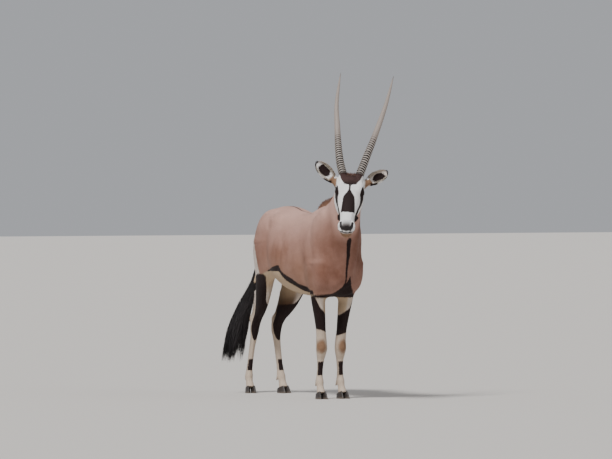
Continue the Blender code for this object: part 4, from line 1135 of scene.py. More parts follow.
def markings(spots):
    """Every colour zone at an array of points, by name."""
    x, y, z = spots.T
    head = headness(x, y, z)
    ear_dark, on_ear, ear_tan = ear_marks(x, y, z)
    face = np.where(head > 0.5, np.where(on_ear > 0.5, ear_dark, dark_face(x, y, z)), -FAR)
    dark = np.where(on_ear > 0.5, ear_dark, np.maximum(dark_parts(x, y, z), face))
    pale = np.where(on_ear > 0.5, 0.02, np.where(head > 0.02, pale_face(x, y, z), pale_parts(x, y, z)))
    flank = ramp(1.02 - z, 0.0, 0.30) * ramp(0.40 - np.abs(y), -0.10, 0.15)
    s, d, o = head_place(x, y, z)
    grey = ramp(d, 0.318, 0.372) * ramp(0.033 - np.abs(s), -0.008, 0.016) * ramp(o, -0.035, -0.022)
    # Painted shade: the forward part of the neck and breast is drawn darker, as the side turned from the light
    front = ramp(-y, 0.36, 0.56) * ramp(1.16 - z, -0.06, 0.12)
    return {
        "dark": dark,
        "pale": pale,
        "tan": np.where(on_ear > 0.5, ear_tan, tan_parts(x, y, z)),
        "bare": bare_parts(x, y, z),
        "warm": flank * (1 - head),
        "grey": np.where(head > 0.5, grey, 0),
        "cream": cream_stain_and_shade(x, y, z),
        "clean": head,
        "shade": inner_shade(x, y, z),
        "front": front * (1 - head),
        # Brown hair of the forehead between the horns, drawn lighter than the black partly as a painted sheen
        "brown": head * ramp(0.075 - d, 0, 0.05) * ramp(d, -0.12, -0.02) * ramp(o, -0.03, -0.01),
    }


skin_marks = markings(skin_points)


def store(mesh, name, values, kind="FLOAT"):
    """Keep one number, or one vector, for each point of a mesh."""
    attribute = mesh.attributes.new(name, kind, "POINT")
    field = "vector" if kind == "FLOAT_VECTOR" else "value"
    attribute.data.foreach_set(field, np.clip(np.ravel(values), -1, 1).astype(np.float32))


def linear(hex_colour):
    """An sRGB hex colour as the linear numbers that a shader takes."""
    parts = [int(hex_colour[k : k + 2], 16) / 255 for k in (1, 3, 5)]
    return [p / 12.92 if p <= 0.04045 else ((p + 0.055) / 1.055) ** 2.4 for p in parts] + [1.0]


def add_node(tree, kind, *values, output=0, **named):
    """Add a node and give one of its outputs.

    The values go to its inputs in order. What is named in small letters is a setting of the node, and
    what is named with a capital, or with a number after an underscore, goes to that input.
    """
    made = tree.nodes.new(kind)
    for name in filter(str.islower, named):
        setattr(made, name, named[name])
    inputs = [("_%d" % k, value) for k, value in enumerate(values)]
    inputs += [(name, value) for name, value in named.items() if not name.islower()]
    for name, value in inputs:
        socket = made.inputs[int(name[1:]) if name[1:].isdigit() else name.replace("_", " ")]
        if isinstance(value, bpy.types.NodeSocket):
            tree.links.new(value, socket)
        else:
            socket.default_value = linear(value) if str(value).startswith("#") else value
    return made.outputs[output]


def laid_over(tree, colour, *layers):
    """Colours laid over one another, each by its share from 0 to 1. Coat colours go by their names."""
    for share, over in layers:
        under, over = (COAT_COLOURS.get(c, c) if isinstance(c, str) else c for c in (colour, over))
        colour = add_node(tree, "ShaderNodeMix", share, data_type="RGBA", output=2, _6=under, _7=over)
    return colour


COAT_COLOURS = {
    "fawn": "#8A604F",
    # Paler fawn: painted top light on the back and rump, and also the hide's paler patches
    "fawn_pale_and_top_light": "#CBA395",
    "fawn_low": "#936E5B",
    # Darker fawn: painted shade on the forward part of the neck and breast
    "fawn_front_shade": "#754C3B",
    "white": "#DACDC3",
    "clean": "#F6F4F2",
    # Cream: white hair that is stained, and darkened with painted shade on the belly and inner thighs
    "cream": "#C0A88C",
    "dark": "#241615",
    # Brown: hair of the forehead, lightened partly as a painted sheen
    "brown": "#44302D",
    # Brown painted shade inside the left thigh, under the belly
    "shade": "#5B4433",
    "tan": "#8E6E55",
    "grey": "#4A4341",
    "bare": "#241E1D",
}


def hair_edge(tree, mark, ragged, soft, wave):
    """From 0 to 1 across the edge of a marking, made ragged as hair tips make it."""
    shifted = add_node(tree, "ShaderNodeMath", ragged, wave, mark, operation="MULTIPLY_ADD")
    return add_node(tree, "ShaderNodeMapRange", shifted, -soft, soft, interpolation_type="SMOOTHSTEP")


def hide_colour(tree):
    """The coat's colour from its markings, with the mottling of a living hide, painted top light on the back,
    and painted shade on the front, the belly and the inner thighs.
    """
    place = add_node(tree, "ShaderNodeTexCoord", output="Object")
    own = {}
    for mark in skin_marks:
        own[mark] = add_node(tree, "ShaderNodeAttribute", attribute_name=mark, output="Fac")
    # Tips of hair lie in wisps 7 mm wide, and the hide's paler patches are a hand wide, 17 cm
    wisps = add_node(tree, "ShaderNodeTexNoise", Vector=place, Scale=150.0, Detail=3.0)
    wisps = add_node(tree, "ShaderNodeMath", wisps, 0.5, operation="SUBTRACT")
    wisps = add_node(tree, "ShaderNodeMath", wisps, 2.0, operation="MULTIPLY")
    patches = add_node(tree, "ShaderNodeTexNoise", Vector=place, Scale=6.0, Detail=4.0)
    patches = add_node(tree, "ShaderNodeMapRange", patches, 0.35, 0.65, 0.0, 0.30)
    height = add_node(tree, "ShaderNodeSeparateXYZ", place, output=2)
    # Painted top light: from 0.86 m up the coat is drawn paler toward the back, where light from above falls
    upper = add_node(tree, "ShaderNodeMapRange", height, 0.86, 1.22, interpolation_type="SMOOTHSTEP")
    edges = (("pale", 0.004, 0.006), ("tan", 0.007, 0.004), ("dark", 0.0016, 0.0035), ("bare", 0.0016, 0.0012))
    pale, tan, dark, bare = (hair_edge(tree, own[mark], wisps, soft, wave) for mark, soft, wave in edges)
    # Fawn, paler toward the back as painted top light, warmer low on the flanks, darker at the front as
    # painted shade
    colour = laid_over(tree, "fawn", (upper, "fawn_pale_and_top_light"), (own["warm"], "fawn_low"))
    colour = laid_over(tree, colour, (own["front"], "fawn_front_shade"), (patches, "fawn_pale_and_top_light"))
    # White hair: stained cream with painted shade on the belly and inner thighs, clean on the face, painted
    # shade inside the left thigh
    white = laid_over(tree, "white", *((own[white_layer], white_layer) for white_layer in ("cream", "clean", "shade")))
    black = laid_over(tree, "dark", (own["brown"], "brown"))
    colour = laid_over(tree, colour, (pale, white), (tan, "tan"), (own["grey"], "grey"))
    colour = laid_over(tree, colour, (dark, black), (bare, "bare"))
    return colour, bare, place


def tinted(tree, colour, darkest, lightest):
    """Each tuft or lock a little darker or lighter, by its own number from 0 to 1."""
    own = add_node(tree, "ShaderNodeAttribute", attribute_name="tint", output="Fac")
    value = add_node(tree, "ShaderNodeMapRange", own, 0.0, 1.0, darkest, lightest)
    return add_node(tree, "ShaderNodeHueSaturation", Color=colour, Value=value)


def plain_material(name, roughness, specular):
    """A material with its shader's even numbers set, and the shader to link patterns to."""
    material = bpy.data.materials.new(name)
    material.use_nodes = True
    tree = material.node_tree
    shader = tree.nodes["Principled BSDF"]
    shader.inputs["Roughness"].default_value = roughness
    shader.inputs["Specular IOR Level"].default_value = specular
    return material, tree, shader


# Living skin under short hair: soft and dull, moist where it is bare, with the grain of the lying hair. A
# hair is 0.05 mm across, too fine to show, so the grain is drawn 2.4 mm wide and eight times as long.
hide_skin, tree, shader = plain_material("living_skin_under_short_coat", 0.75, 0.30)
colour, bare, place = hide_colour(tree)
tree.links.new(colour, shader.inputs["Base Color"])
moist = add_node(tree, "ShaderNodeMapRange", bare, 0.0, 1.0, 0.75, 0.32)
tree.links.new(moist, shader.inputs["Roughness"])
lie = add_node(tree, "ShaderNodeAttribute", attribute_name="lie", output="Vector")
centred = add_node(tree, "ShaderNodeVectorMath", place, (0, 0, 0.9), operation="SUBTRACT")
along = add_node(tree, "ShaderNodeVectorMath", centred, lie, operation="DOT_PRODUCT", output="Value")
along = add_node(tree, "ShaderNodeMath", along, -0.88, operation="MULTIPLY")
drawn = add_node(tree, "ShaderNodeVectorMath", lie, along, centred, operation="MULTIPLY_ADD")
grain = add_node(tree, "ShaderNodeTexNoise", Vector=drawn, Scale=420.0, Detail=3.0)
relief = add_node(tree, "ShaderNodeBump", Strength=0.5, Distance=0.0015, Height=grain)
tree.links.new(relief, shader.inputs["Normal"])


def piece_mesh(name, points, faces, marks, normals=None):
    """A mesh of triangles in the CAD's frame, carrying its markings."""
    mesh = bpy.data.meshes.new(name)
    mesh.vertices.add(len(points))
    mesh.vertices.foreach_set("co", (points + SHIFT).astype(np.float32).ravel())
    mesh.loops.add(faces.size)
    mesh.loops.foreach_set("vertex_index", faces.astype(np.int32).ravel())
    mesh.polygons.add(len(faces))
    width = faces.shape[1]
    mesh.polygons.foreach_set("loop_start", np.arange(0, faces.size, width, dtype=np.int32))
    mesh.update(calc_edges=True)
    mesh.shade_smooth()
    for mark, values in marks.items():
        store(mesh, mark, values)
    if normals is not None:
        mesh.normals_split_custom_set_from_vertices(normals.tolist())
    return mesh


def way(x, y, z):
    """One way for every point, to be turned from."""
    return np.array((x, y, z), float)[None, :]


def unit(vectors):
    """Vectors of the same way, each of length 1."""
    return vectors / np.maximum(np.linalg.norm(vectors, axis=-1, keepdims=True), 1e-12)


def turned_to(lie, other, share):
    """Turned from one way toward another by a share at each point."""
    return lie + (other - lie) * share[:, None]


TRUNK_HAIR, FACE_HAIR, EAR_HAIR = 0.0125, 0.0085, 0.0100


def coat_lie(spots, outward):
    """Which way the hair lies at points of the skin."""
    x, y, z = spots.T
    up = outward[:, 2]
    lie = turned_to(way(0, 0.92, -0.38), way(0, 1, -0.05), ramp(up, 0.4, 0.9))
    lie = turned_to(lie, way(0, 1, 0), ramp(-up, 0.3, 0.9))
    upper_neck = turned_to(way(0.08, 0.68, -0.73), way(0, 0.2, -1), ramp(-outward[:, 1], 0.3, 0.9))
    lie = turned_to(lie, upper_neck, ramp(-y, 0.25, 0.45) * ramp(z, 0.62, 0.8))
    lie = turned_to(lie, way(0, 0.6, -0.8), ramp(y, 0.25, 0.50))
    lie = turned_to(lie, way(0, 0.05, -1), ramp(0.75 - z, 0, 0.15) * ramp(np.abs(x), 0.01, 0.05))
    near_dock = ramp(0.02 - tail_dock().value(x, y, z), 0, 0.015) * ramp(y, 0.45, 0.6)
    lie = turned_to(lie, way(-0.1, 0.2, -1), near_dock)
    face = np.array(-DOWN_FACE - OUT_FACE * 0.25)[None, :]
    lie = turned_to(lie, face, headness(x, y, z))
    for name in EARS:
        t, a, f = ear_place(name, x, y, z)
        root, along, across = ear_root(name)
        fan = np.array(along)[None, :] + np.array(across)[None, :] * (a * 9)[:, None]
        lie = turned_to(lie, fan, ear_share(t, a, f))
    swirl = np.sin(np.stack([y * 17 + z * 11, z * 13 - x * 19, x * 15 + y * 9], axis=1) + [0.4, 2.1, 4.0])
    lie = lie + 0.16 * swirl
    return unit(lie - outward * np.sum(lie * outward, axis=1, keepdims=True))


def hair_length(spots, ears):
    """The short coat's length at points of the skin."""
    x, y, z = spots.T
    length = TRUNK_HAIR - 0.0040 * ramp(0.66 - z, 0, 0.15) - 0.0025 * ramp(0.20 - z, 0, 0.10)
    length = length + 0.0030 * ramp(y, 0.30, 0.55) * ramp(z, 0.6, 0.7)
    s, d, o = head_place(x, y, z)
    face = FACE_HAIR - 0.0035 * ramp(d, 0.05, 0.30)
    length = length + (face - length) * headness(x, y, z)
    return length + (EAR_HAIR - length) * ears


def lid_distance(x, y, z):
    """Distance from the middle of the nearer eye, for arrays of points."""
    spots = np.stack([x, y, z], axis=1)
    return least(*(np.linalg.norm(spots - np.array(eye_centre(name)), axis=1) for name in EARS))


def beside_horns(spots):
    """Above 0 outside the sockets where the horns grow, in metres."""
    outside = np.full(len(spots), FAR)
    for name in HORNS:
        point, along = (np.array(v) for v in horn_foot(name))
        up = (spots - point) @ along
        around = np.linalg.norm(spots - point - up[:, None] * along, axis=1)
        outside = np.minimum(outside, np.maximum(around - 0.028, -0.004 - up))
    return outside


skin_ears = np.zeros(len(skin_points))
for name in EARS:
    t, a, f = ear_place(name, *skin_points.T)
    skin_ears = np.maximum(skin_ears, ear_share(t, a, f))
skin_lie = coat_lie(skin_points, skin_out)
skin_length = hair_length(skin_points, skin_ears)
skin_cover = ramp(0.0015 - skin_marks["bare"], 0.0, 0.0035)
skin_cover *= ramp(lid_distance(*skin_points.T), EYE_RADIUS + 0.001, EYE_RADIUS + 0.0045)
skin_cover *= ramp(-past_coronet(*skin_points.T, sunk=-0.002), 0.0, 0.003)
skin_cover *= ramp(beside_horns(skin_points), 0.0, 0.002)


FLESH_NODES = ["torso", "neck", "head", "ear_right", "ear_left", "tail_dock"]
FLESH_NODES += ["leg_" + name for name in LEGS]
skin_mesh = piece_mesh("hide", skin_points, skin_faces, skin_marks, skin_out)
store(skin_mesh, "lie", skin_lie, "FLOAT_VECTOR")
hide = link("hide", skin_mesh)
hide.data.materials.append(hide_skin)
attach(hide, "root")
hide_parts(*FLESH_NODES)


# Coat
# Short sleek hair that lies back along the body and down the legs, 5 to 9 mm long on the face and 12 to
# 15 mm on the trunk. It is made of thin tufts rooted in the hide, each a closed spindle, laid by one tree.
TUFT_WIDTH = 0.155
TUFT_THICKNESS = 0.038
COAT_SOFTNESS = 0.95
PATCH = 0.003


def tuft_mesh():
    """A closed spindle of six faces, 1 long, 1 wide and 1 thick, with its root sunk in the hide."""
    points = [(0, -0.06, -0.35), (-0.5, 0.36, -0.05), (0.5, 0.36, -0.05), (0, 0.40, 0.55), (0, 1, 0.05)]
    faces = [(0, 1, 2), (0, 2, 3), (0, 3, 1), (4, 2, 1), (4, 3, 2), (4, 1, 3)]
    mesh = bpy.data.meshes.new("tuft")
    mesh.from_pydata(points, [], faces)
    return mesh


TUFT_POINTS = 5
tuft = link("tuft", tuft_mesh())
tuft.hide_render = True


def coat_tree(material):
    """Nodes that lay tufts over a piece of skin along the lie of its hair, thicker where cover is 1."""
    tree = bpy.data.node_groups.new("short_coat", "GeometryNodeTree")
    sizes = ("Tuft", "Object"), ("Tufts per square metre", "Float"), ("Lift in degrees", "Float")
    for name, kind in (("Geometry", "Geometry"), *sizes):
        tree.interface.new_socket(name, in_out="INPUT", socket_type="NodeSocket" + kind)
    tree.interface.new_socket("Geometry", in_out="OUTPUT", socket_type="NodeSocketGeometry")
    given = tree.nodes.new("NodeGroupInput")
    result = tree.nodes.new("NodeGroupOutput")
    kinds = {"cover": "FLOAT", "hair_length": "FLOAT", "outward": "FLOAT_VECTOR", "lie": "FLOAT_VECTOR"}
    cover, long, outward, lie = (
        add_node(tree, "GeometryNodeInputNamedAttribute", Name=name, data_type=kind)
        for name, kind in kinds.items()
    )
    ranges = (0.0, 1.0, 5), (0.55, 1.35, 9), (-0.35, 0.35, 12), (-0.20, 0.20, 11), (0.72, 1.22, 13)
    tint, lift_share, roll, yaw, long_share = (
        add_node(tree, "FunctionNodeRandomValue", _2=low, _3=high, Seed=seed, output=1)
        for low, high, seed in ranges
    )
    per_area = given.outputs["Tufts per square metre"]
    density = add_node(tree, "ShaderNodeMath", per_area, cover, operation="MULTIPLY")
    skin = given.outputs["Geometry"]
    on_points = add_node(tree, "GeometryNodeDistributePointsOnFaces", Mesh=skin, Density=density, Seed=3)
    normal = on_points.node.outputs["Normal"]
    for name, kind, value in (("outward", "FLOAT_VECTOR", normal), ("tint", "FLOAT", tint)):
        keep = {"Geometry": on_points, "Name": name, "Value": value, "data_type": kind, "domain": "POINT"}
        on_points = add_node(tree, "GeometryNodeStoreNamedAttribute", **keep)
    turned = "FunctionNodeAlignRotationToVector"
    laid = add_node(tree, turned, Vector=outward, axis="Z")
    laid = add_node(tree, turned, Rotation=laid, Vector=lie, axis="Y", pivot_axis="Z")
    lift = given.outputs["Lift in degrees"]
    lift = add_node(tree, "ShaderNodeMath", lift, math.pi / 180, operation="MULTIPLY")
    lift = add_node(tree, "ShaderNodeMath", lift, lift_share, operation="MULTIPLY")
    turn = add_node(tree, "ShaderNodeCombineXYZ", lift, roll, yaw)
    turn = add_node(tree, "FunctionNodeEulerToRotation", Euler=turn)
    laid = add_node(tree, "FunctionNodeRotateRotation", Rotation=laid, Rotate_By=turn, rotation_space="LOCAL")
    long = add_node(tree, "ShaderNodeMath", long, long_share, operation="MULTIPLY")
    wide, thick = (
        add_node(tree, "ShaderNodeMath", long, share, operation="MULTIPLY")
        for share in (TUFT_WIDTH, TUFT_THICKNESS)
    )
    size = add_node(tree, "ShaderNodeCombineXYZ", wide, long, thick)
    shape = add_node(tree, "GeometryNodeObjectInfo", Object=given.outputs["Tuft"], output="Geometry")
    placed = {"Points": on_points, "Instance": shape, "Rotation": laid, "Scale": size}
    tufts = add_node(tree, "GeometryNodeInstanceOnPoints", **placed)
    real = add_node(tree, "GeometryNodeRealizeInstances", Geometry=tufts)
    dressed = add_node(tree, "GeometryNodeSetMaterial", Geometry=real, Material=material)
    tree.links.new(dressed, result.inputs[0])
    return tree


# Dry guard hair: matt with a faint sheen at a low angle, each tuft a little lighter or darker
coat_hair, tree, shader = plain_material("short_dry_guard_hair", 0.78, 0.12)
colour = tinted(tree, hide_colour(tree)[0], 0.90, 1.09)
tree.links.new(colour, shader.inputs["Base Color"])
shader.inputs["Sheen Weight"].default_value = 0.05
shader.inputs["Sheen Roughness"].default_value = 0.5
short_coat = coat_tree(coat_hair)


def socket_named(tree, name):
    """The identifier by which a modifier knows an input of its tree."""
    return next(i.identifier for i in tree.interface.items_tree if i.name == name and i.in_out == "INPUT")


def unwrapped(spots, through, axis, zero, inner=None):
    """A place on a flat map for points round an axis: the turn round it and the way along it."""
    axis = Vector(axis).normalized()
    zero = (Vector(zero) - axis * Vector(zero).dot(axis)).normalized()
    aside = axis.cross(zero)
    offset = spots - np.array(through)[None, :]
    turn = np.arctan2(offset @ np.array(aside), offset @ np.array(zero)) / (2 * math.pi) + 0.5
    if inner is not None:
        turn = np.where(inner, turn * 0.5, 0.5 + turn * 0.5)
    along = offset @ np.array(axis)
    along = (along - along.min()) / max(np.ptp(along), 1e-6)
    return np.stack([0.01 + 0.97 * turn, 0.01 + 0.97 * along], axis=1)


def bake_map(mesh, place, patch):
    """The map that every face's own colours are baked to, from one place for each point."""
    corners = np.empty(len(mesh.loops), np.int32)
    mesh.loops.foreach_get("vertex_index", corners)
    layer = mesh.uv_layers.new(name="OFBake")
    layer.uv.foreach_set("vector", (place + patch * PATCH)[corners].astype(np.float32).ravel())


def geometry_normals(points, faces):
    """Each point's own normal from the faces round it."""
    corners = points[faces]
    across = np.cross(corners[:, 1] - corners[:, 0], corners[:, 2] - corners[:, 0])
    total = np.zeros_like(points)
    for k in range(3):
        np.add.at(total, faces[:, k], across)
    return unit(total)


def soft_normals(mesh, outward, share):
    """Light the hair mostly as the hide under it, so that a coat shades as one soft mass."""
    own = geometry_normals(coordinates(mesh), triangles_of(mesh))
    mesh.shade_smooth()
    mesh.normals_split_custom_set_from_vertices(unit(outward * share + own * (1 - share)).tolist())


def vectors_of(mesh, name):
    """The vectors that a mesh keeps at its points under a name."""
    flat = np.empty(len(mesh.vertices) * 3)
    mesh.attributes[name].data.foreach_get("vector", flat)
    return flat.reshape(-1, 3)


def coat_piece(name, chosen, per_square_metre, lift, chart, inner_way=None):
    """The tufts of one part of the skin, as one plain mesh."""
    faces = skin_faces[chosen]
    used, faces = np.unique(faces, return_inverse=True)
    faces = faces.reshape(-1, 3)
    marks = {mark: values[used] for mark, values in skin_marks.items()}
    marks["cover"], marks["hair_length"] = skin_cover[used], skin_length[used]
    mesh = piece_mesh(name, skin_points[used], faces, marks)
    store(mesh, "lie", skin_lie[used], "FLOAT_VECTOR")
    patch = link(name + "_skin", mesh)
    growth = patch.modifiers.new("coat", "NODES")
    growth.node_group = short_coat
    given = {"Tuft": tuft, "Tufts per square metre": per_square_metre, "Lift in degrees": lift}
    for title, value in given.items():
        growth[socket_named(short_coat, title)] = value
    mesh = settled(patch)
    mesh.name = name
    outward = vectors_of(mesh, "outward")
    points = coordinates(mesh).reshape(-1, TUFT_POINTS, 3)
    roots = points[:, 0] - SHIFT
    inner = None if inner_way is None else outward[::TUFT_POINTS] @ np.array(inner_way) > 0
    place = np.repeat(unwrapped(roots, *chart, inner), TUFT_POINTS, axis=0)
    flat = np.array([(0, 0), (-0.5, 0.5), (0.5, 0.5), (0, 0.6), (0, 1)])
    bake_map(mesh, place, np.tile(flat, (len(points), 1)))
    soft_normals(mesh, outward, COAT_SOFTNESS)
    for spare in ("outward", "lie", "cover", "hair_length"):
        mesh.attributes.remove(mesh.attributes[spare])
    coat = link(name, mesh)
    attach(coat, "root")
    return coat


middles = skin_points[skin_faces].mean(axis=1)
mx, my, mz = middles.T
on_ear = skin_ears[skin_faces].mean(axis=1) > 0.5
on_face = (headness(mx, my, mz) > 0.5) & ~on_ear
on_fore = (mz < 0.66) & (my < BETWEEN_LEGS) & ~on_face & (np.abs(mx) > 0.012)
on_hind = (mz < 0.70) & (my >= BETWEEN_LEGS) & ~on_face & (np.abs(mx) > 0.012)
on_neck = (my < -0.36) & (mz > 0.66) & ~on_face & ~on_ear
on_trunk = ~(on_ear | on_face | on_fore | on_hind | on_neck)
middle = on_head(0, 0.15, -0.09)
BODY_DENSITY, LEG_DENSITY, FACE_DENSITY, EAR_DENSITY = 62000, 72000, 125000, 110000
BODY_LIFT, LEG_LIFT, FACE_LIFT, EAR_LIFT = 2.8, 6.5, 7.0, 10.0
for side, hand in (("right", mx < 0), ("left", mx >= 0)):
    spine = ((0, 0, 0.85), (0, 1, 0), (0, 0, -1))
    for part, zone in (("ribs", my < 0.10), ("haunch", my >= 0.10)):
        coat_piece("coat_%s_%s" % (part, side), on_trunk & hand & zone, BODY_DENSITY, BODY_LIFT, spine)
    s = head_place(mx, my, mz)[0]
    cheek = s < 0 if side == "right" else s >= 0
    face_chart = (middle, DOWN_FACE, -OUT_FACE)
    coat_piece("coat_face_" + side, on_face & cheek, FACE_DENSITY, FACE_LIFT, face_chart)
    for end, zone in (("fore", on_fore), ("hind", on_hind)):
        foot = (0.08 if side == "left" else -0.08, -0.32 if end == "fore" else 0.60, 0)
        shin = (foot, (0, 0, 1), (0, 1, 0))
        coat_piece("coat_%s_%s" % (end, side), zone & hand, LEG_DENSITY, LEG_LIFT, shin)
    root, along, across = ear_root(side)
    front = across.cross(along)
    own = on_ear & ((mx > -0.02) if side == "left" else (mx <= -0.02))
    coat_piece("coat_ear_" + side, own, EAR_DENSITY, EAR_LIFT, (root, along, front), front)
neck_chart = ((0, -0.50, 1.0), (0, -0.4, 0.9), (0, 1, 0))
coat_piece("coat_neck", on_neck, BODY_DENSITY, BODY_LIFT, neck_chart)
bpy.data.objects.remove(tuft)


# Tail hair
# A long black brush of straight coarse hair that starts half way down the dock and hangs to the hocks.
# It is made of fine pointed locks, rooted round the dock, that swing to the animal's right.
TAIL_TIP_HEIGHT = 0.20
TAIL_HEIGHTS = (0.84, 0.79, 0.70, 0.57, 0.45, 0.35, TAIL_TIP_HEIGHT)
TAIL_SWING = (-0.028, -0.038, -0.060, -0.108, -0.146, -0.172, -0.200)
TAIL_BACK = (0.697, 0.704, 0.718, 0.742, 0.752, 0.754, 0.748)
TAIL_ACROSS = np.array((0.905, -0.425, 0))
TAIL_DEEP = np.array((0.425, 0.905, 0))
TAIL_LOCKS = 2300
TAIL_BUNCHES = 43
LOCK_WIDTH, LOCK_THICKNESS = 0.0042, 0.0007
LOCK_SOFTNESS = 0.45


def hair_mesh(name, paths, widths, flats, thick):
    """Pointed locks of three-sided section along paths, in one mesh that knows how far along each point is."""
    count, stations = paths.shape[:2]
    steps = np.diff(paths, axis=1)
    along = unit(np.concatenate([steps[:, :1], (steps[:, 1:] + steps[:, :-1]) / 2], axis=1))
    across = unit(np.cross(along, flats[:, None, :]))
    out = np.cross(across, along)
    rings = paths[:, :-1]
    half = widths[:, :, None] / 2
    corners = np.stack([rings + across * half, rings + out * thick, rings - across * half], axis=2)
    per = (stations - 1) * 3 + 1
    points = np.concatenate([corners.reshape(count, -1, 3), paths[:, -1:]], axis=1).reshape(-1, 3)
    faces = [(0, 1, 2)]
    for ring in range(stations - 2):
        for k in range(3):
            a, b = ring * 3 + k, ring * 3 + (k + 1) % 3
            faces += [(a, a + 3, b + 3), (a, b + 3, b)]
    last = (stations - 2) * 3
    faces += [(last + k, per - 1, last + (k + 1) % 3) for k in range(3)]
    faces = np.array(faces)
    one = points[:per]
    volume = np.sum(np.cross(one[faces[:, 0]], one[faces[:, 1]]) * one[faces[:, 2]])
    if volume < 0:
        faces = faces[:, ::-1]
    faces = (faces[None] + per * np.arange(count)[:, None, None]).reshape(-1, 3)
    share = np.repeat(np.arange(stations - 1) / (stations - 1), 3)
    share = np.tile(np.append(share, 1.0), count)
    tint = np.repeat(np.random.default_rng(count).random(count), per)
    mesh = piece_mesh(name, points, faces, {"along": share, "tint": tint})
    flat = np.stack([np.tile(np.append(np.tile([-0.5, 0.0, 0.5], stations - 1), 0), count), share], axis=1)
    return mesh, per, flat


def hair_material(name, root, tip, spread, roughness=0.48):
    """Long coarse hair: smooth fibres that shine a little along each lock, paler or darker at the tips."""
    material, tree, shader = plain_material(name, roughness, 0.4)
    along = add_node(tree, "ShaderNodeAttribute", attribute_name="along", output="Fac")
    colour = tinted(tree, laid_over(tree, root, (along, tip)), 1 - spread, 1 + spread)
    tree.links.new(colour, shader.inputs["Base Color"])
    return material


def hair_piece(name, mesh, per, flat, material, place, normals=None):
    """One piece of long hair, mapped for baking by the place of each lock's root."""
    mesh.materials.append(material)
    bake_map(mesh, np.repeat(place, per, axis=0), flat)
    if normals is not None:
        soft_normals(mesh, np.repeat(normals, per, axis=0), LOCK_SOFTNESS)
    obj = link(name, mesh)
    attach(obj, "root")
    return obj


def tail_middle(height):
    """The middle of the hanging hair at heights above the ground, as arrays of points."""
    rising = TAIL_HEIGHTS[::-1]
    x = smooth_through(rising, TAIL_SWING[::-1], height)
    y = smooth_through(rising, TAIL_BACK[::-1], height)
    return np.stack([x, y, height], axis=-1)


def tail_spread(height):
    """How far the tail's hair stands off its middle at a height."""
    return smooth_through((0.20, 0.36, 0.50, 0.66, 0.80), (0.070, 0.064, 0.046, 0.027, 0.012), height)


def tail_paths(count, chance):
    """Each lock's path down the tail in one of its bunches, its flat side, its rank and its turn."""
    share = chance.random(count)
    top = 0.86 - 0.26 * share**1.2 + chance.uniform(-0.01, 0.01, count)
    bunch = np.round(chance.random(count) * (TAIL_BUNCHES - 1))
    bunch_end = np.random.default_rng(42).random(TAIL_BUNCHES)[bunch.astype(int)]
    end = TAIL_TIP_HEIGHT - 0.005 + 0.32 * bunch_end**1.9 + chance.uniform(-0.010, 0.05, count)
    end = np.minimum(end, top - 0.12)
    bunch_turn = bunch * 2.399
    turn = bunch_turn + chance.normal(0, 0.28, count)
    reach = np.sqrt(chance.random(count))
    u = np.linspace(0, 1, 10)[None, :]
    height = top[:, None] + (end - top)[:, None] * u
    spread = tail_spread(height) * (0.42 + 0.58 * np.minimum(u * 2.2, 1)) * (0.35 + 0.65 * reach)[:, None]
    spread = np.maximum(spread, 0.0135 * ramp(height, 0.66, 0.72))
    gather = ramp(u, 0.45, 1.0) * 0.55
    turn = turn[:, None] + (bunch_turn - turn)[:, None] * gather
    sway = 0.012 * np.sin(bunch * 1.7)[:, None] * np.sin(u * 3.6)
    sway = sway + 0.003 * np.sin(u * 14 + (share * 40)[:, None])
    across, deep = np.cos(turn) * spread + sway, np.sin(turn) * spread * 0.55
    paths = tail_middle(height) + across[..., None] * TAIL_ACROSS + deep[..., None] * TAIL_DEEP
    flats = np.cos(turn[:, 0, None]) * TAIL_ACROSS + np.sin(turn[:, 0, None]) * TAIL_DEEP
    return paths, flats, share, turn


chance = np.random.default_rng(4)
paths, flats, share, turn = tail_paths(TAIL_LOCKS, chance)
widths = LOCK_WIDTH * np.interp(np.linspace(0, 1, 9), (0, 0.3, 0.7, 1), (0.6, 1.0, 0.9, 0.45))
widths = widths[None, :] * chance.uniform(0.7, 1.3, TAIL_LOCKS)[:, None]
mesh, per, flat = hair_mesh("tail_brush", paths, widths, flats, LOCK_THICKNESS)
tail_black = hair_material("long_black_tail_hair", "#1B1718", "#241F20", 0.35)
place = np.stack([0.02 + 0.95 * (turn[:, 0] / (2 * math.pi) % 1.0), 0.02 + 0.95 * share], axis=1)
tail_brush = hair_piece("tail_brush", mesh, per, flat, tail_black, place)
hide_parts("tail_hair")


# Mane
# A short upright ridge of stiff chestnut hair from the withers to the poll, 5 cm tall at its highest.
# It is made of fine locks that lean back and part a little to both sides.
MANE_LOCKS = 1500
MANE_HALF_WIDTH = 0.008
NAPE_STEPS = 16


def nape_line():
    """Points along the top of the neck from withers to poll, each with its outward way."""
    core = (
        Vector((0, -0.140, 1.04)),
        Vector((0, -0.320, 1.08)),
        Vector((-0.012, -0.460, 1.14)),
        Vector((-0.030, -0.570, 1.23)),
        on_head(0, 0.010, -0.105),
    )
    rows = []
    for share in np.linspace(0, 1, NAPE_STEPS + 1):
        spot = [smooth_through(range(5), [p[axis] for p in core], share * 4) for axis in range(3)]
        toward = Vector((0, 0.10 + 0.55 * share, 1)).normalized()
        rows.append((*surface_from(SHAPES, Vector(spot), toward), *toward))
    return np.array(rows)


def mane_height(share):
    """The mane's height off the hide, from the withers (0) to the poll (1)."""
    return 0.016 + 0.038 * np.sin(math.pi * np.minimum(share * 1.1 + 0.06, 1)) ** 0.7


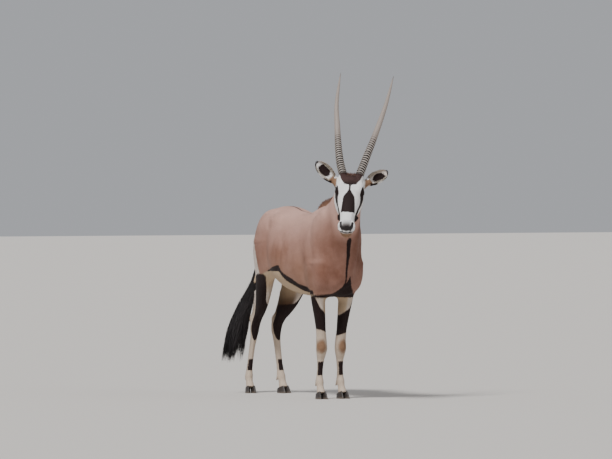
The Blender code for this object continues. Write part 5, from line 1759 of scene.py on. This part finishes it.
chance = np.random.default_rng(7)
nape = nape_line()
share = np.sort(chance.random(MANE_LOCKS))
along_nape, steps = share * NAPE_STEPS, range(NAPE_STEPS + 1)
rows = np.stack([np.interp(along_nape, steps, nape[:, k]) for k in range(6)], axis=1)
ahead = np.stack([np.interp(along_nape + 0.5, steps, nape[:, k]) for k in range(3)], axis=1)
spots, outward = rows[:, :3], rows[:, 3:]
back = spots - ahead
back[share > 0.96] = (nape[14] - nape[15])[:3]
back = unit(back)
aside = np.cross(back, outward)
offset = np.clip(chance.normal(0, 0.40, MANE_LOCKS), -1, 1)
tall = mane_height(share) * chance.uniform(0.70, 1.06, MANE_LOCKS) * (1 - 0.25 * np.abs(offset))
lean = chance.uniform(0.35, 0.75, MANE_LOCKS)
u = np.linspace(0, 1, 6)[None, :, None]
paths = spots[:, None] + aside[:, None] * (offset * MANE_HALF_WIDTH)[:, None, None]
paths = paths + outward[:, None] * (tall[:, None, None] * u * (1 - 0.12 * u * u) - 0.008 * (1 - u))
paths = paths + back[:, None] * (tall * lean)[:, None, None] * u**1.5
paths = paths + aside[:, None] * (offset * 0.010 + chance.normal(0, 0.0012, MANE_LOCKS))[:, None, None] * u**2
widths = LOCK_WIDTH * np.array((0.8, 1.0, 0.95, 0.75, 0.40))[None, :]
widths = widths * chance.uniform(0.7, 1.25, MANE_LOCKS)[:, None]
mesh, per, flat = hair_mesh("mane_crest", paths, widths, aside, LOCK_THICKNESS)
mane_hair = hair_material("stiff_chestnut_mane_hair", "#8E6A52", "#5A392B", 0.25, 0.6)
place = np.stack([0.5 + 0.45 * offset, 0.02 + 0.95 * share], axis=1)
crest = hair_piece("mane_crest", mesh, per, flat, mane_hair, place, outward)
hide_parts("mane")


# Hair of the head
# Longer hair that the short coat doesn't cover: white fringes inside the cups of the ears, a chestnut
# tuft between the horns and tan hairs under the chin, all of them fine locks rooted in the hide.


def hair_from_skin(name, chosen, lean, length, width, material, seed, lift=0.5):
    """Locks rooted at some of the skin's own points, rising from it and leaning one way."""
    chance = np.random.default_rng(seed)
    roots, out = skin_points[chosen], skin_out[chosen]
    count = len(roots)
    roots = roots + chance.normal(0, 0.0008, (count, 3))
    lean = np.broadcast_to(lean, roots.shape)
    lean = lean + chance.normal(0, 0.16, (count, 3))
    long = length * chance.uniform(0.65, 1.15, count)[:, None, None]
    u = np.linspace(0, 1, 6)[None, :, None]
    rise = out[:, None] * (lift * u * (1 - 0.45 * u))
    paths = roots[:, None] - out[:, None] * 0.0015 + (rise + lean[:, None] * (u * (0.75 + 0.25 * u))) * long
    widths = width * np.array((0.8, 1.0, 0.9, 0.7, 0.4))[None, :] * chance.uniform(0.7, 1.2, count)[:, None]
    mesh, per, flat = hair_mesh(name, paths, widths, out, width * 0.18)
    share = np.arange(count) / count
    place = np.stack([0.02 + 0.95 * (share * 37 % 1.0), 0.02 + 0.95 * share], axis=1)
    return hair_piece(name, mesh, per, flat, material, place, out)


def pick(mask, count, seed):
    """A fixed random choice of the skin's points inside a mask."""
    found = np.flatnonzero(mask)
    return np.random.default_rng(seed).choice(found, min(count, len(found)), replace=False)


ear_fringe = hair_material("long_white_hair_of_the_ear", "#A89A88", "#C9BFB1", 0.14, 0.6)
poll_hair = hair_material("chestnut_hair_between_the_horns", "#33201B", "#5E3A2A", 0.25, 0.6)
chin_hair = hair_material("tan_hair_of_the_chin", "#8C6C4A", "#A58562", 0.2, 0.6)
FRINGE_ALONG = (0.02, 0.075, 0.11, 0.145, 0.175, 0.20)
FRINGE_HALF = (0.020, 0.0395, 0.0435, 0.0395, 0.0285, 0.008)
sx, sy, sz = skin_points.T
for name in EARS:
    root, along, across = ear_root(name)
    front = np.array(across.cross(along))
    t, a, f = ear_place(name, sx, sy, sz)
    facing = skin_out @ front
    edge = np.abs(a) / band(t, FRINGE_ALONG, FRINGE_HALF)
    inside = (skin_ears > 0.8) & (facing > 0.1) & (t > 0.045) & (t < 0.165) & (edge > 0.70) & (edge < 0.95)
    chosen = pick(inside, 620, 21)
    inward = -np.sign(a[chosen])[:, None] * np.array(across)[None, :]
    lean = inward * 0.30 + np.array(along)[None, :] * 0.85 + front[None, :] * 0.10
    hair_from_skin("ear_fringe_" + name, chosen, lean, 0.021, 0.0014, ear_fringe, 22, 0.25)
s, d, o = head_place(sx, sy, sz)
skin_head = headness(sx, sy, sz) > 0.5
on_poll = skin_head & (np.abs(s) < 0.026) & (d > -0.045) & (d < 0.006)
on_poll &= skin_out @ np.array(-DOWN_FACE) > -0.2
up_and_back = np.array(OUT_FACE * 0.75 - DOWN_FACE * 0.55)[None, :]
hair_from_skin("poll_tuft", pick(on_poll, 380, 31), up_and_back, 0.018, 0.0020, poll_hair, 32, 0.3)
on_chin = skin_head & (d > 0.345) & (o < -0.078) & (np.abs(s) < 0.030)
down = np.array(DOWN_FACE * 0.35 - OUT_FACE * 0.75)[None, :]
hair_from_skin("chin_hair", pick(on_chin, 260, 41), down, 0.009, 0.0018, chin_hair, 42, 0.35)


# Lashes
# A row of stiff black hairs along each upper lid, a centimetre long, that curve out and down.
# They are the finest locks of all, one for each lash, rooted in the lid's edge.
LASHES = 44
LASH_LENGTH, LASH_WIDTH, LASH_THICKNESS = 0.0105, 0.00075, 0.0003
LID_HALF_LENGTH, LID_HALF_HEIGHT = 0.0182, 0.0112
lash_hair = hair_material("stiff_black_lashes", "#0F0C0B", "#1A1513", 0.2, 0.4)
for name in ("right", "left"):
    outward, slit, up = (np.array(v) for v in eye_axes(name))
    centre = np.array(eye_centre(name))
    chance = np.random.default_rng(51)
    angle = np.linspace(0.14, 0.86, LASHES) * math.pi + chance.normal(0, 0.02, LASHES)
    edge = slit * (np.cos(angle) * LID_HALF_LENGTH)[:, None] + up * (np.sin(angle) * LID_HALF_HEIGHT)[:, None]
    depth = np.sqrt(np.maximum((EYE_RADIUS + 0.0028) ** 2 - np.sum(edge**2, axis=1), 0))
    roots = centre + edge + outward[None, :] * depth[:, None]
    u = np.linspace(0, 1, 6)[None, :, None]
    fan = unit(edge)
    bend = outward * (u - 0.25 * u**2) + fan[:, None] * (0.50 * u + 0.1 * u**2) - up * 0.42 * u**2
    long = LASH_LENGTH * chance.uniform(0.8, 1.15, LASHES)
    paths = roots[:, None] - outward * 0.0012 + bend * long[:, None, None]
    widths = LASH_WIDTH * np.array((1.0, 1.0, 0.8, 0.6, 0.35))[None, :] * np.ones((LASHES, 1))
    mesh, per, flat = hair_mesh("lashes_" + name, paths, widths, np.cross(bend[:, -1], fan), LASH_THICKNESS)
    place = np.stack([np.linspace(0.1, 0.9, LASHES), np.full(LASHES, 0.5)], axis=1)
    hair_piece("lashes_" + name, mesh, per, flat, lash_hair, place)


# Eyes
# Two balls 41 mm across, dark brown round a wide level pupil, under a clear wet cornea that bulges a
# little. Each sits deep in its socket, and the lids of the hide hold it there.


def eye_mesh(name):
    """A ball with a slight bulge for the cornea. Each point knows its place across the iris."""
    bm = bmesh.new()
    bmesh.ops.create_uvsphere(bm, u_segments=64, v_segments=40, radius=EYE_RADIUS)
    mesh = bpy.data.meshes.new("eye_" + name)
    bm.to_mesh(mesh)
    bm.free()
    outward, slit, up = (np.array(v) for v in eye_axes(name))
    points = coordinates(mesh)
    ahead = points[:, 2] / EYE_RADIUS
    points[:, 2] += 0.0016 * ramp(ahead, 0.72, 0.92)
    turned = points[:, :1] * slit + points[:, 1:2] * up + points[:, 2:] * outward
    if np.dot(np.cross(slit, up), outward) < 0:
        mesh.flip_normals()
    placed = turned + np.array(eye_centre(name)) + SHIFT
    mesh.vertices.foreach_set("co", placed.astype(np.float32).ravel())
    store(mesh, "iris_along", points[:, 0] * 20)
    store(mesh, "iris_up", points[:, 1] * 20)
    store(mesh, "iris_ahead", ahead)
    mesh.shade_smooth()
    return mesh


# Wet cornea over a brown iris: a sharp bright glint on a nearly black ball
eye_wet, tree, shader = plain_material("wet_brown_eye", 0.12, 0.20)
along, up, ahead = (
    add_node(tree, "ShaderNodeAttribute", attribute_name="iris_" + side, output="Fac")
    for side in ("along", "up", "ahead")
)
# Fibres 3.6 mm wide round a pupil twice as wide as it is tall
fibres = add_node(tree, "ShaderNodeCombineXYZ", along, up)
fibres = add_node(tree, "ShaderNodeTexNoise", Vector=fibres, Scale=14.0, Detail=4.0)
tall = add_node(tree, "ShaderNodeMath", up, 2.1, operation="MULTIPLY")
reach = add_node(tree, "ShaderNodeCombineXYZ", along, tall)
reach = add_node(tree, "ShaderNodeVectorMath", reach, operation="LENGTH", output="Value")
past_pupil, in_iris = (
    add_node(tree, "ShaderNodeMapRange", value, low, high, interpolation_type="SMOOTHSTEP")
    for value, low, high in ((reach, 0.17, 0.21), (ahead, 0.60, 0.68))
)
iris = laid_over(tree, "#1B0F09", (fibres, "#3A2213"))
colour = laid_over(tree, "#2A1D17", (in_iris, laid_over(tree, "#040303", (past_pupil, iris))))
tree.links.new(colour, shader.inputs["Base Color"])
shader.inputs["IOR"].default_value = 1.35
for name in ("right", "left"):
    eye = link("eye_ball_" + name, eye_mesh(name))
    eye.data.materials.append(eye_wet)
    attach(eye, "root")
    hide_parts("eye_" + name)


# Horns
# Two long hollow sheaths of keratin on bony cores, ringed on their lower two fifths and smooth above.
# Each tapers from 51 mm at the skull to a hard dark point, and has fine lines along its length.
HORN_BASE_RADIUS = 0.0255
RINGS = 19
RINGED_SHARE = 0.40
HORN_SIDES = 48
HORN_DEEP = 1.10
RING_HEIGHT = 0.080
FIRST_RING = 0.012


def horn_radius(share):
    """A horn's radius from its foot (0) to its point (1)."""
    knots = (0.0, 0.10, 0.25, 0.45, 0.70, 0.88, 1.0)
    sizes = (1.00, 0.94, 0.84, 0.70, 0.48, 0.27, 0.05)
    return HORN_BASE_RADIUS * smooth_through(knots, sizes, share)


def tube_faces(rows, sides):
    """Triangles of a closed tube of rings, whose last two points are the middles of its ends."""
    k, j = np.meshgrid(np.arange(rows - 1), np.arange(sides), indexing="ij")
    a, b = k * sides + j, k * sides + (j + 1) % sides
    j, top, ends = np.arange(sides), (rows - 1) * sides, np.full(sides, rows * sides)
    strips = (
        (a, b, b + sides),
        (a, b + sides, a + sides),
        ((j + 1) % sides, j, ends),
        (top + j, top + (j + 1) % sides, ends + 1),
    )
    return np.concatenate([np.stack(corners, -1).reshape(-1, 3) for corners in strips])


def horn_mesh(name):
    """A tube of keratin with uneven slanting rings, which lie deepest toward the front."""
    chance = np.random.default_rng(61 if name == "right" else 62)
    smooth_from = RINGED_SHARE * 1.25
    share = np.concatenate([np.linspace(0, smooth_from, 250), np.linspace(smooth_from, 1, 60)[1:]])
    turn = np.arange(HORN_SIDES) * 2 * math.pi / HORN_SIDES
    centre = np.array([horn_point(name, s) for s in share])
    along = unit(np.gradient(centre, axis=0))
    across = unit(np.array(HEAD_LEFT) - along * (along @ np.array(HEAD_LEFT))[:, None])
    deep = np.cross(along, across)
    pitch = (RINGED_SHARE - FIRST_RING) / RINGS
    wander = chance.uniform(-0.16, 0.16, RINGS + 8)
    S, T = np.meshgrid(share, turn, indexing="ij")
    slant = 0.0040 * np.sin(T) + 0.0012 * np.sin(2 * T + 1.3 + S * 30)
    at = (S + slant - FIRST_RING) / pitch
    ring = np.clip(np.floor(at), -1, RINGS + 6).astype(int)
    phase = at - np.floor(at) + wander[ring + 1] * 0.5
    tooth = np.clip(np.sin(phase * 2 * math.pi) * 0.75 + 0.35 * np.sin(phase * 4 * math.pi + 0.5), -1, 1)
    rise = ramp(S, 0.002, 0.02)
    fade = RING_HEIGHT * (1 - ramp(S, RINGED_SHARE * 0.60, RINGED_SHARE * 1.10)) * rise
    shown = (1 - ramp(S, RINGED_SHARE * 0.50, RINGED_SHARE * 1.05)) * rise
    facing = 0.78 + 0.22 * np.cos(T - math.pi / 2)
    swell = 1 + fade * tooth * facing + 0.006 * np.sin(T * 9 + S * 4) * (1 - S)
    radius = (horn_radius(share)[:, None] * swell)[..., None]
    round_x, round_y = np.cos(T)[..., None], np.sin(T)[..., None]
    points = centre[:, None] + radius * (across[:, None] * round_x + deep[:, None] * (HORN_DEEP * round_y))
    points = np.concatenate([points.reshape(-1, 3), centre[:1], centre[-1:] + along[-1:] * 0.002])
    marks = {
        "groove": np.append(((0.4 - tooth) * shown).ravel(), [0, 0]),
        "height": np.append(S.ravel(), [0, 1]),
        "round_x": np.append(round_x.ravel(), [0, 0]),
        "round_y": np.append(round_y.ravel(), [0, 0]),
    }
    return piece_mesh("horn_" + name, points, tube_faces(len(share), HORN_SIDES), marks)


# Horn keratin: a dull grey-brown sheath, dark in the grooves, worn pale on the ridges, with fine long lines
keratin, tree, shader = plain_material("ringed_horn_keratin", 0.52, 0.45)
groove, height, round_x, round_y = (
    add_node(tree, "ShaderNodeAttribute", attribute_name=mark, output="Fac")
    for mark in ("groove", "height", "round_x", "round_y")
)
# Lines 3 mm wide run up the sheath, which stand for its finer fibres
along = add_node(tree, "ShaderNodeMath", height, 1.6, operation="MULTIPLY")
around = add_node(tree, "ShaderNodeCombineXYZ", round_x, round_y, along)
lines = add_node(tree, "ShaderNodeTexNoise", Vector=around, Scale=9.0, Detail=5.0)
colour = "#463C37"
for value, low, high, at_most, gently, over in (
    (height, 0.0, 0.45, 1.0, False, "#A1948B"),
    (lines, 0.42, 0.66, 0.45, False, "#75685F"),
    (groove, -0.02, -0.36, 0.95, False, "#DCD0C4"),
    (groove, 0.02, 0.42, 1.0, True, "#171310"),
    (height, 0.93, 1.0, 0.6, True, "#2E2926"),
):
    rising = {"interpolation_type": "SMOOTHSTEP" if gently else "LINEAR"}
    share = add_node(tree, "ShaderNodeMapRange", value, low, high, 0.0, at_most, **rising)
    colour = laid_over(tree, colour, (share, over))
tree.links.new(colour, shader.inputs["Base Color"])
relief = add_node(tree, "ShaderNodeBump", Strength=0.5, Distance=0.0012, Height=lines)
tree.links.new(relief, shader.inputs["Normal"])
for name in ("right", "left"):
    horn = link("horn_sheath_" + name, horn_mesh(name))
    horn.data.materials.append(keratin)
    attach(horn, "root")
    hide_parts("horn_" + name)


# Hooves
# Eight claws of hard dark horn, two to a foot, each 9 cm long with a flat sole and a pointed toe.
# The wall has faint growth rings round it, and the hair of the coronet laps over its top edge.
HOOF_GAP = 0.0003
HOOF_SIDES = 40
SOLE_HALF_LENGTH, SOLE_WIDTH = 0.0445, 0.0330


def hoof_mesh(name, foot_name, half):
    """One claw: flat sole, flat inner wall, pointed toe, rounded rims and a slanting top."""
    foot, toes = foot_of(foot_name)
    foot, toes = np.array(foot), np.array(toes)
    across = np.cross(toes, (0, 0, 1)) * half
    middle, normal = (np.array(v) for v in coronet_plane(foot_name))
    levels = np.concatenate([[0, 0.02, 0.05], np.linspace(0.10, 0.94, 22), [0.975, 1.0]])
    turn = np.arange(HOOF_SIDES) * 2 * math.pi / HOOF_SIDES
    U, T = np.meshgrid(levels, turn, indexing="ij")
    ring = 1 + 0.010 * np.sin(U * 34 + 0.8 * np.sin(T)) * ramp(U, 0.08, 0.2) * ramp(-U, -0.97, -0.85)
    shrink = 1 - 0.045 * (1 - ramp(U, 0, 0.06)) - 0.10 * ramp(U, 0.94, 1.0)
    length = (SOLE_HALF_LENGTH - 0.0125 * U) * ring * shrink
    width = (SOLE_WIDTH - 0.0045 * U) * ring * shrink
    ahead, out = np.cos(T), np.sin(T)
    taper = 1.0 - 0.42 * np.maximum(ahead, 0) ** 2
    along = length * ahead + 0.0030 - 0.0130 * U
    wide = 0.5 * (SOLE_WIDTH - 0.0045 * U) * (1 - shrink) + 0.5 * width * (1 + out * taper)
    toe_in = 0.0022 + 0.0030 * np.maximum(along, 0) / length
    points = foot + along[..., None] * toes + (wide + toe_in)[..., None] * across
    tilt = (points[..., 0] - middle[0]) * normal[0] + (points[..., 1] - middle[1]) * normal[1]
    points[..., 2] = (middle[2] - tilt / normal[2] - HOOF_GAP) * U
    caps = np.stack([points[0].mean(axis=0), points[-1].mean(axis=0)])
    flat = np.concatenate([points.reshape(-1, 3), caps])
    faces = tube_faces(len(levels), HOOF_SIDES)
    if half < 0:
        faces = faces[:, ::-1]
    return piece_mesh(name, flat, faces, {"rise": np.append(U.ravel(), [0, 1])})


# Hoof horn: hard, dark and slightly glossy from wear, with paler dusty growth lines
hoof_horn, tree, shader = plain_material("worn_dark_hoof_horn", 0.42, 0.5)
place = add_node(tree, "ShaderNodeTexCoord", output="Object")
# Growth rings 3 mm apart
growth = add_node(tree, "ShaderNodeMapping", Vector=place, Scale=(1, 1, 6))
growth = add_node(tree, "ShaderNodeTexNoise", Vector=growth, Scale=60.0, Detail=4.0)
rise = add_node(tree, "ShaderNodeAttribute", attribute_name="rise", output="Fac")
dust = add_node(tree, "ShaderNodeMapRange", rise, 0.35, 0.0, 0.0, 0.5, interpolation_type="SMOOTHSTEP")
colour = laid_over(tree, "#1E1A19", (growth, "#4A423D"), (dust, "#7B6E62"))
tree.links.new(colour, shader.inputs["Base Color"])
relief = add_node(tree, "ShaderNodeBump", Strength=0.35, Distance=0.001, Height=growth)
tree.links.new(relief, shader.inputs["Normal"])
for foot_name in LEGS:
    for claw, half in (("a", 1), ("b", -1)):
        name = "hoof_%s_%s" % (foot_name, claw)
        wall = link("claw_%s_%s" % (foot_name, claw), hoof_mesh(name, foot_name, half))
        wall.data.materials.append(hoof_horn)
        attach(wall, "root")
        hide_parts(name)


# Floor, light and camera
# A plain pale floor, a broad soft sky and a low-angled soft sun from the upper left.
# The camera stands 38 m off at a standing person's eye level, as the photo's does.
VIEW_TURN = -25.0
VIEW_DISTANCE = 38.0
VIEW_HEIGHT = 1.60
PIXELS_PER_METRE = 160.0
PHOTO_WIDTH = 612
VIEW_SIDEWAYS = -0.028
VIEW_CENTRE_HEIGHT = 1.0469
floor_mesh = bpy.data.meshes.new("floor")
bm = bmesh.new()
bmesh.ops.create_grid(bm, x_segments=1, y_segments=1, size=60)
bm.to_mesh(floor_mesh)
bm.free()
floor = link("floor", floor_mesh)
floor_paint, tree, shader = plain_material("matt_painted_studio_floor", 0.9, 0.2)
shader.inputs["Base Color"].default_value = linear("#CFCAC4")
floor.data.materials.append(floor_paint)
floor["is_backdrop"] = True

world = bpy.data.worlds.new("soft_sky")
bpy.context.scene.world = world
world.use_nodes = True
world.node_tree.nodes["Background"].inputs[0].default_value = linear("#E9ECF2")
world.node_tree.nodes["Background"].inputs[1].default_value = 0.50


def sun(name, energy, spread, tilt, turn):
    """A light from one way, its spread, tilt and turn in degrees."""
    lamp = bpy.data.lights.new(name, "SUN")
    lamp.energy, lamp.angle = energy, math.radians(spread)
    obj = bpy.data.objects.new(name, lamp)
    obj.rotation_euler = (math.radians(tilt), 0, math.radians(turn))
    bpy.context.scene.collection.objects.link(obj)


sun("key_light", 3.1, 12, 36, -62)
sun("fill_light", 0.35, 40, 60, 40)

turn = math.radians(VIEW_TURN)
right = Vector((math.cos(turn), math.sin(turn), 0))
target = right * VIEW_SIDEWAYS + Vector((0, 0, VIEW_CENTRE_HEIGHT))
rise = math.asin((VIEW_HEIGHT - target.z) / VIEW_DISTANCE)
back = Vector((math.sin(turn) * math.cos(rise), -math.cos(turn) * math.cos(rise), math.sin(rise)))
camera = bpy.data.objects.new("camera", bpy.data.cameras.new("camera"))
camera.data.sensor_width = 36
camera.data.lens = PIXELS_PER_METRE * VIEW_DISTANCE / PHOTO_WIDTH * 36
camera.location = target + back * VIEW_DISTANCE + Vector(SHIFT)
camera.rotation_euler = back.to_track_quat("Z", "Y").to_euler()
camera.data.clip_end = 200
bpy.context.scene.collection.objects.link(camera)
bpy.context.scene.camera = camera

low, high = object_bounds()
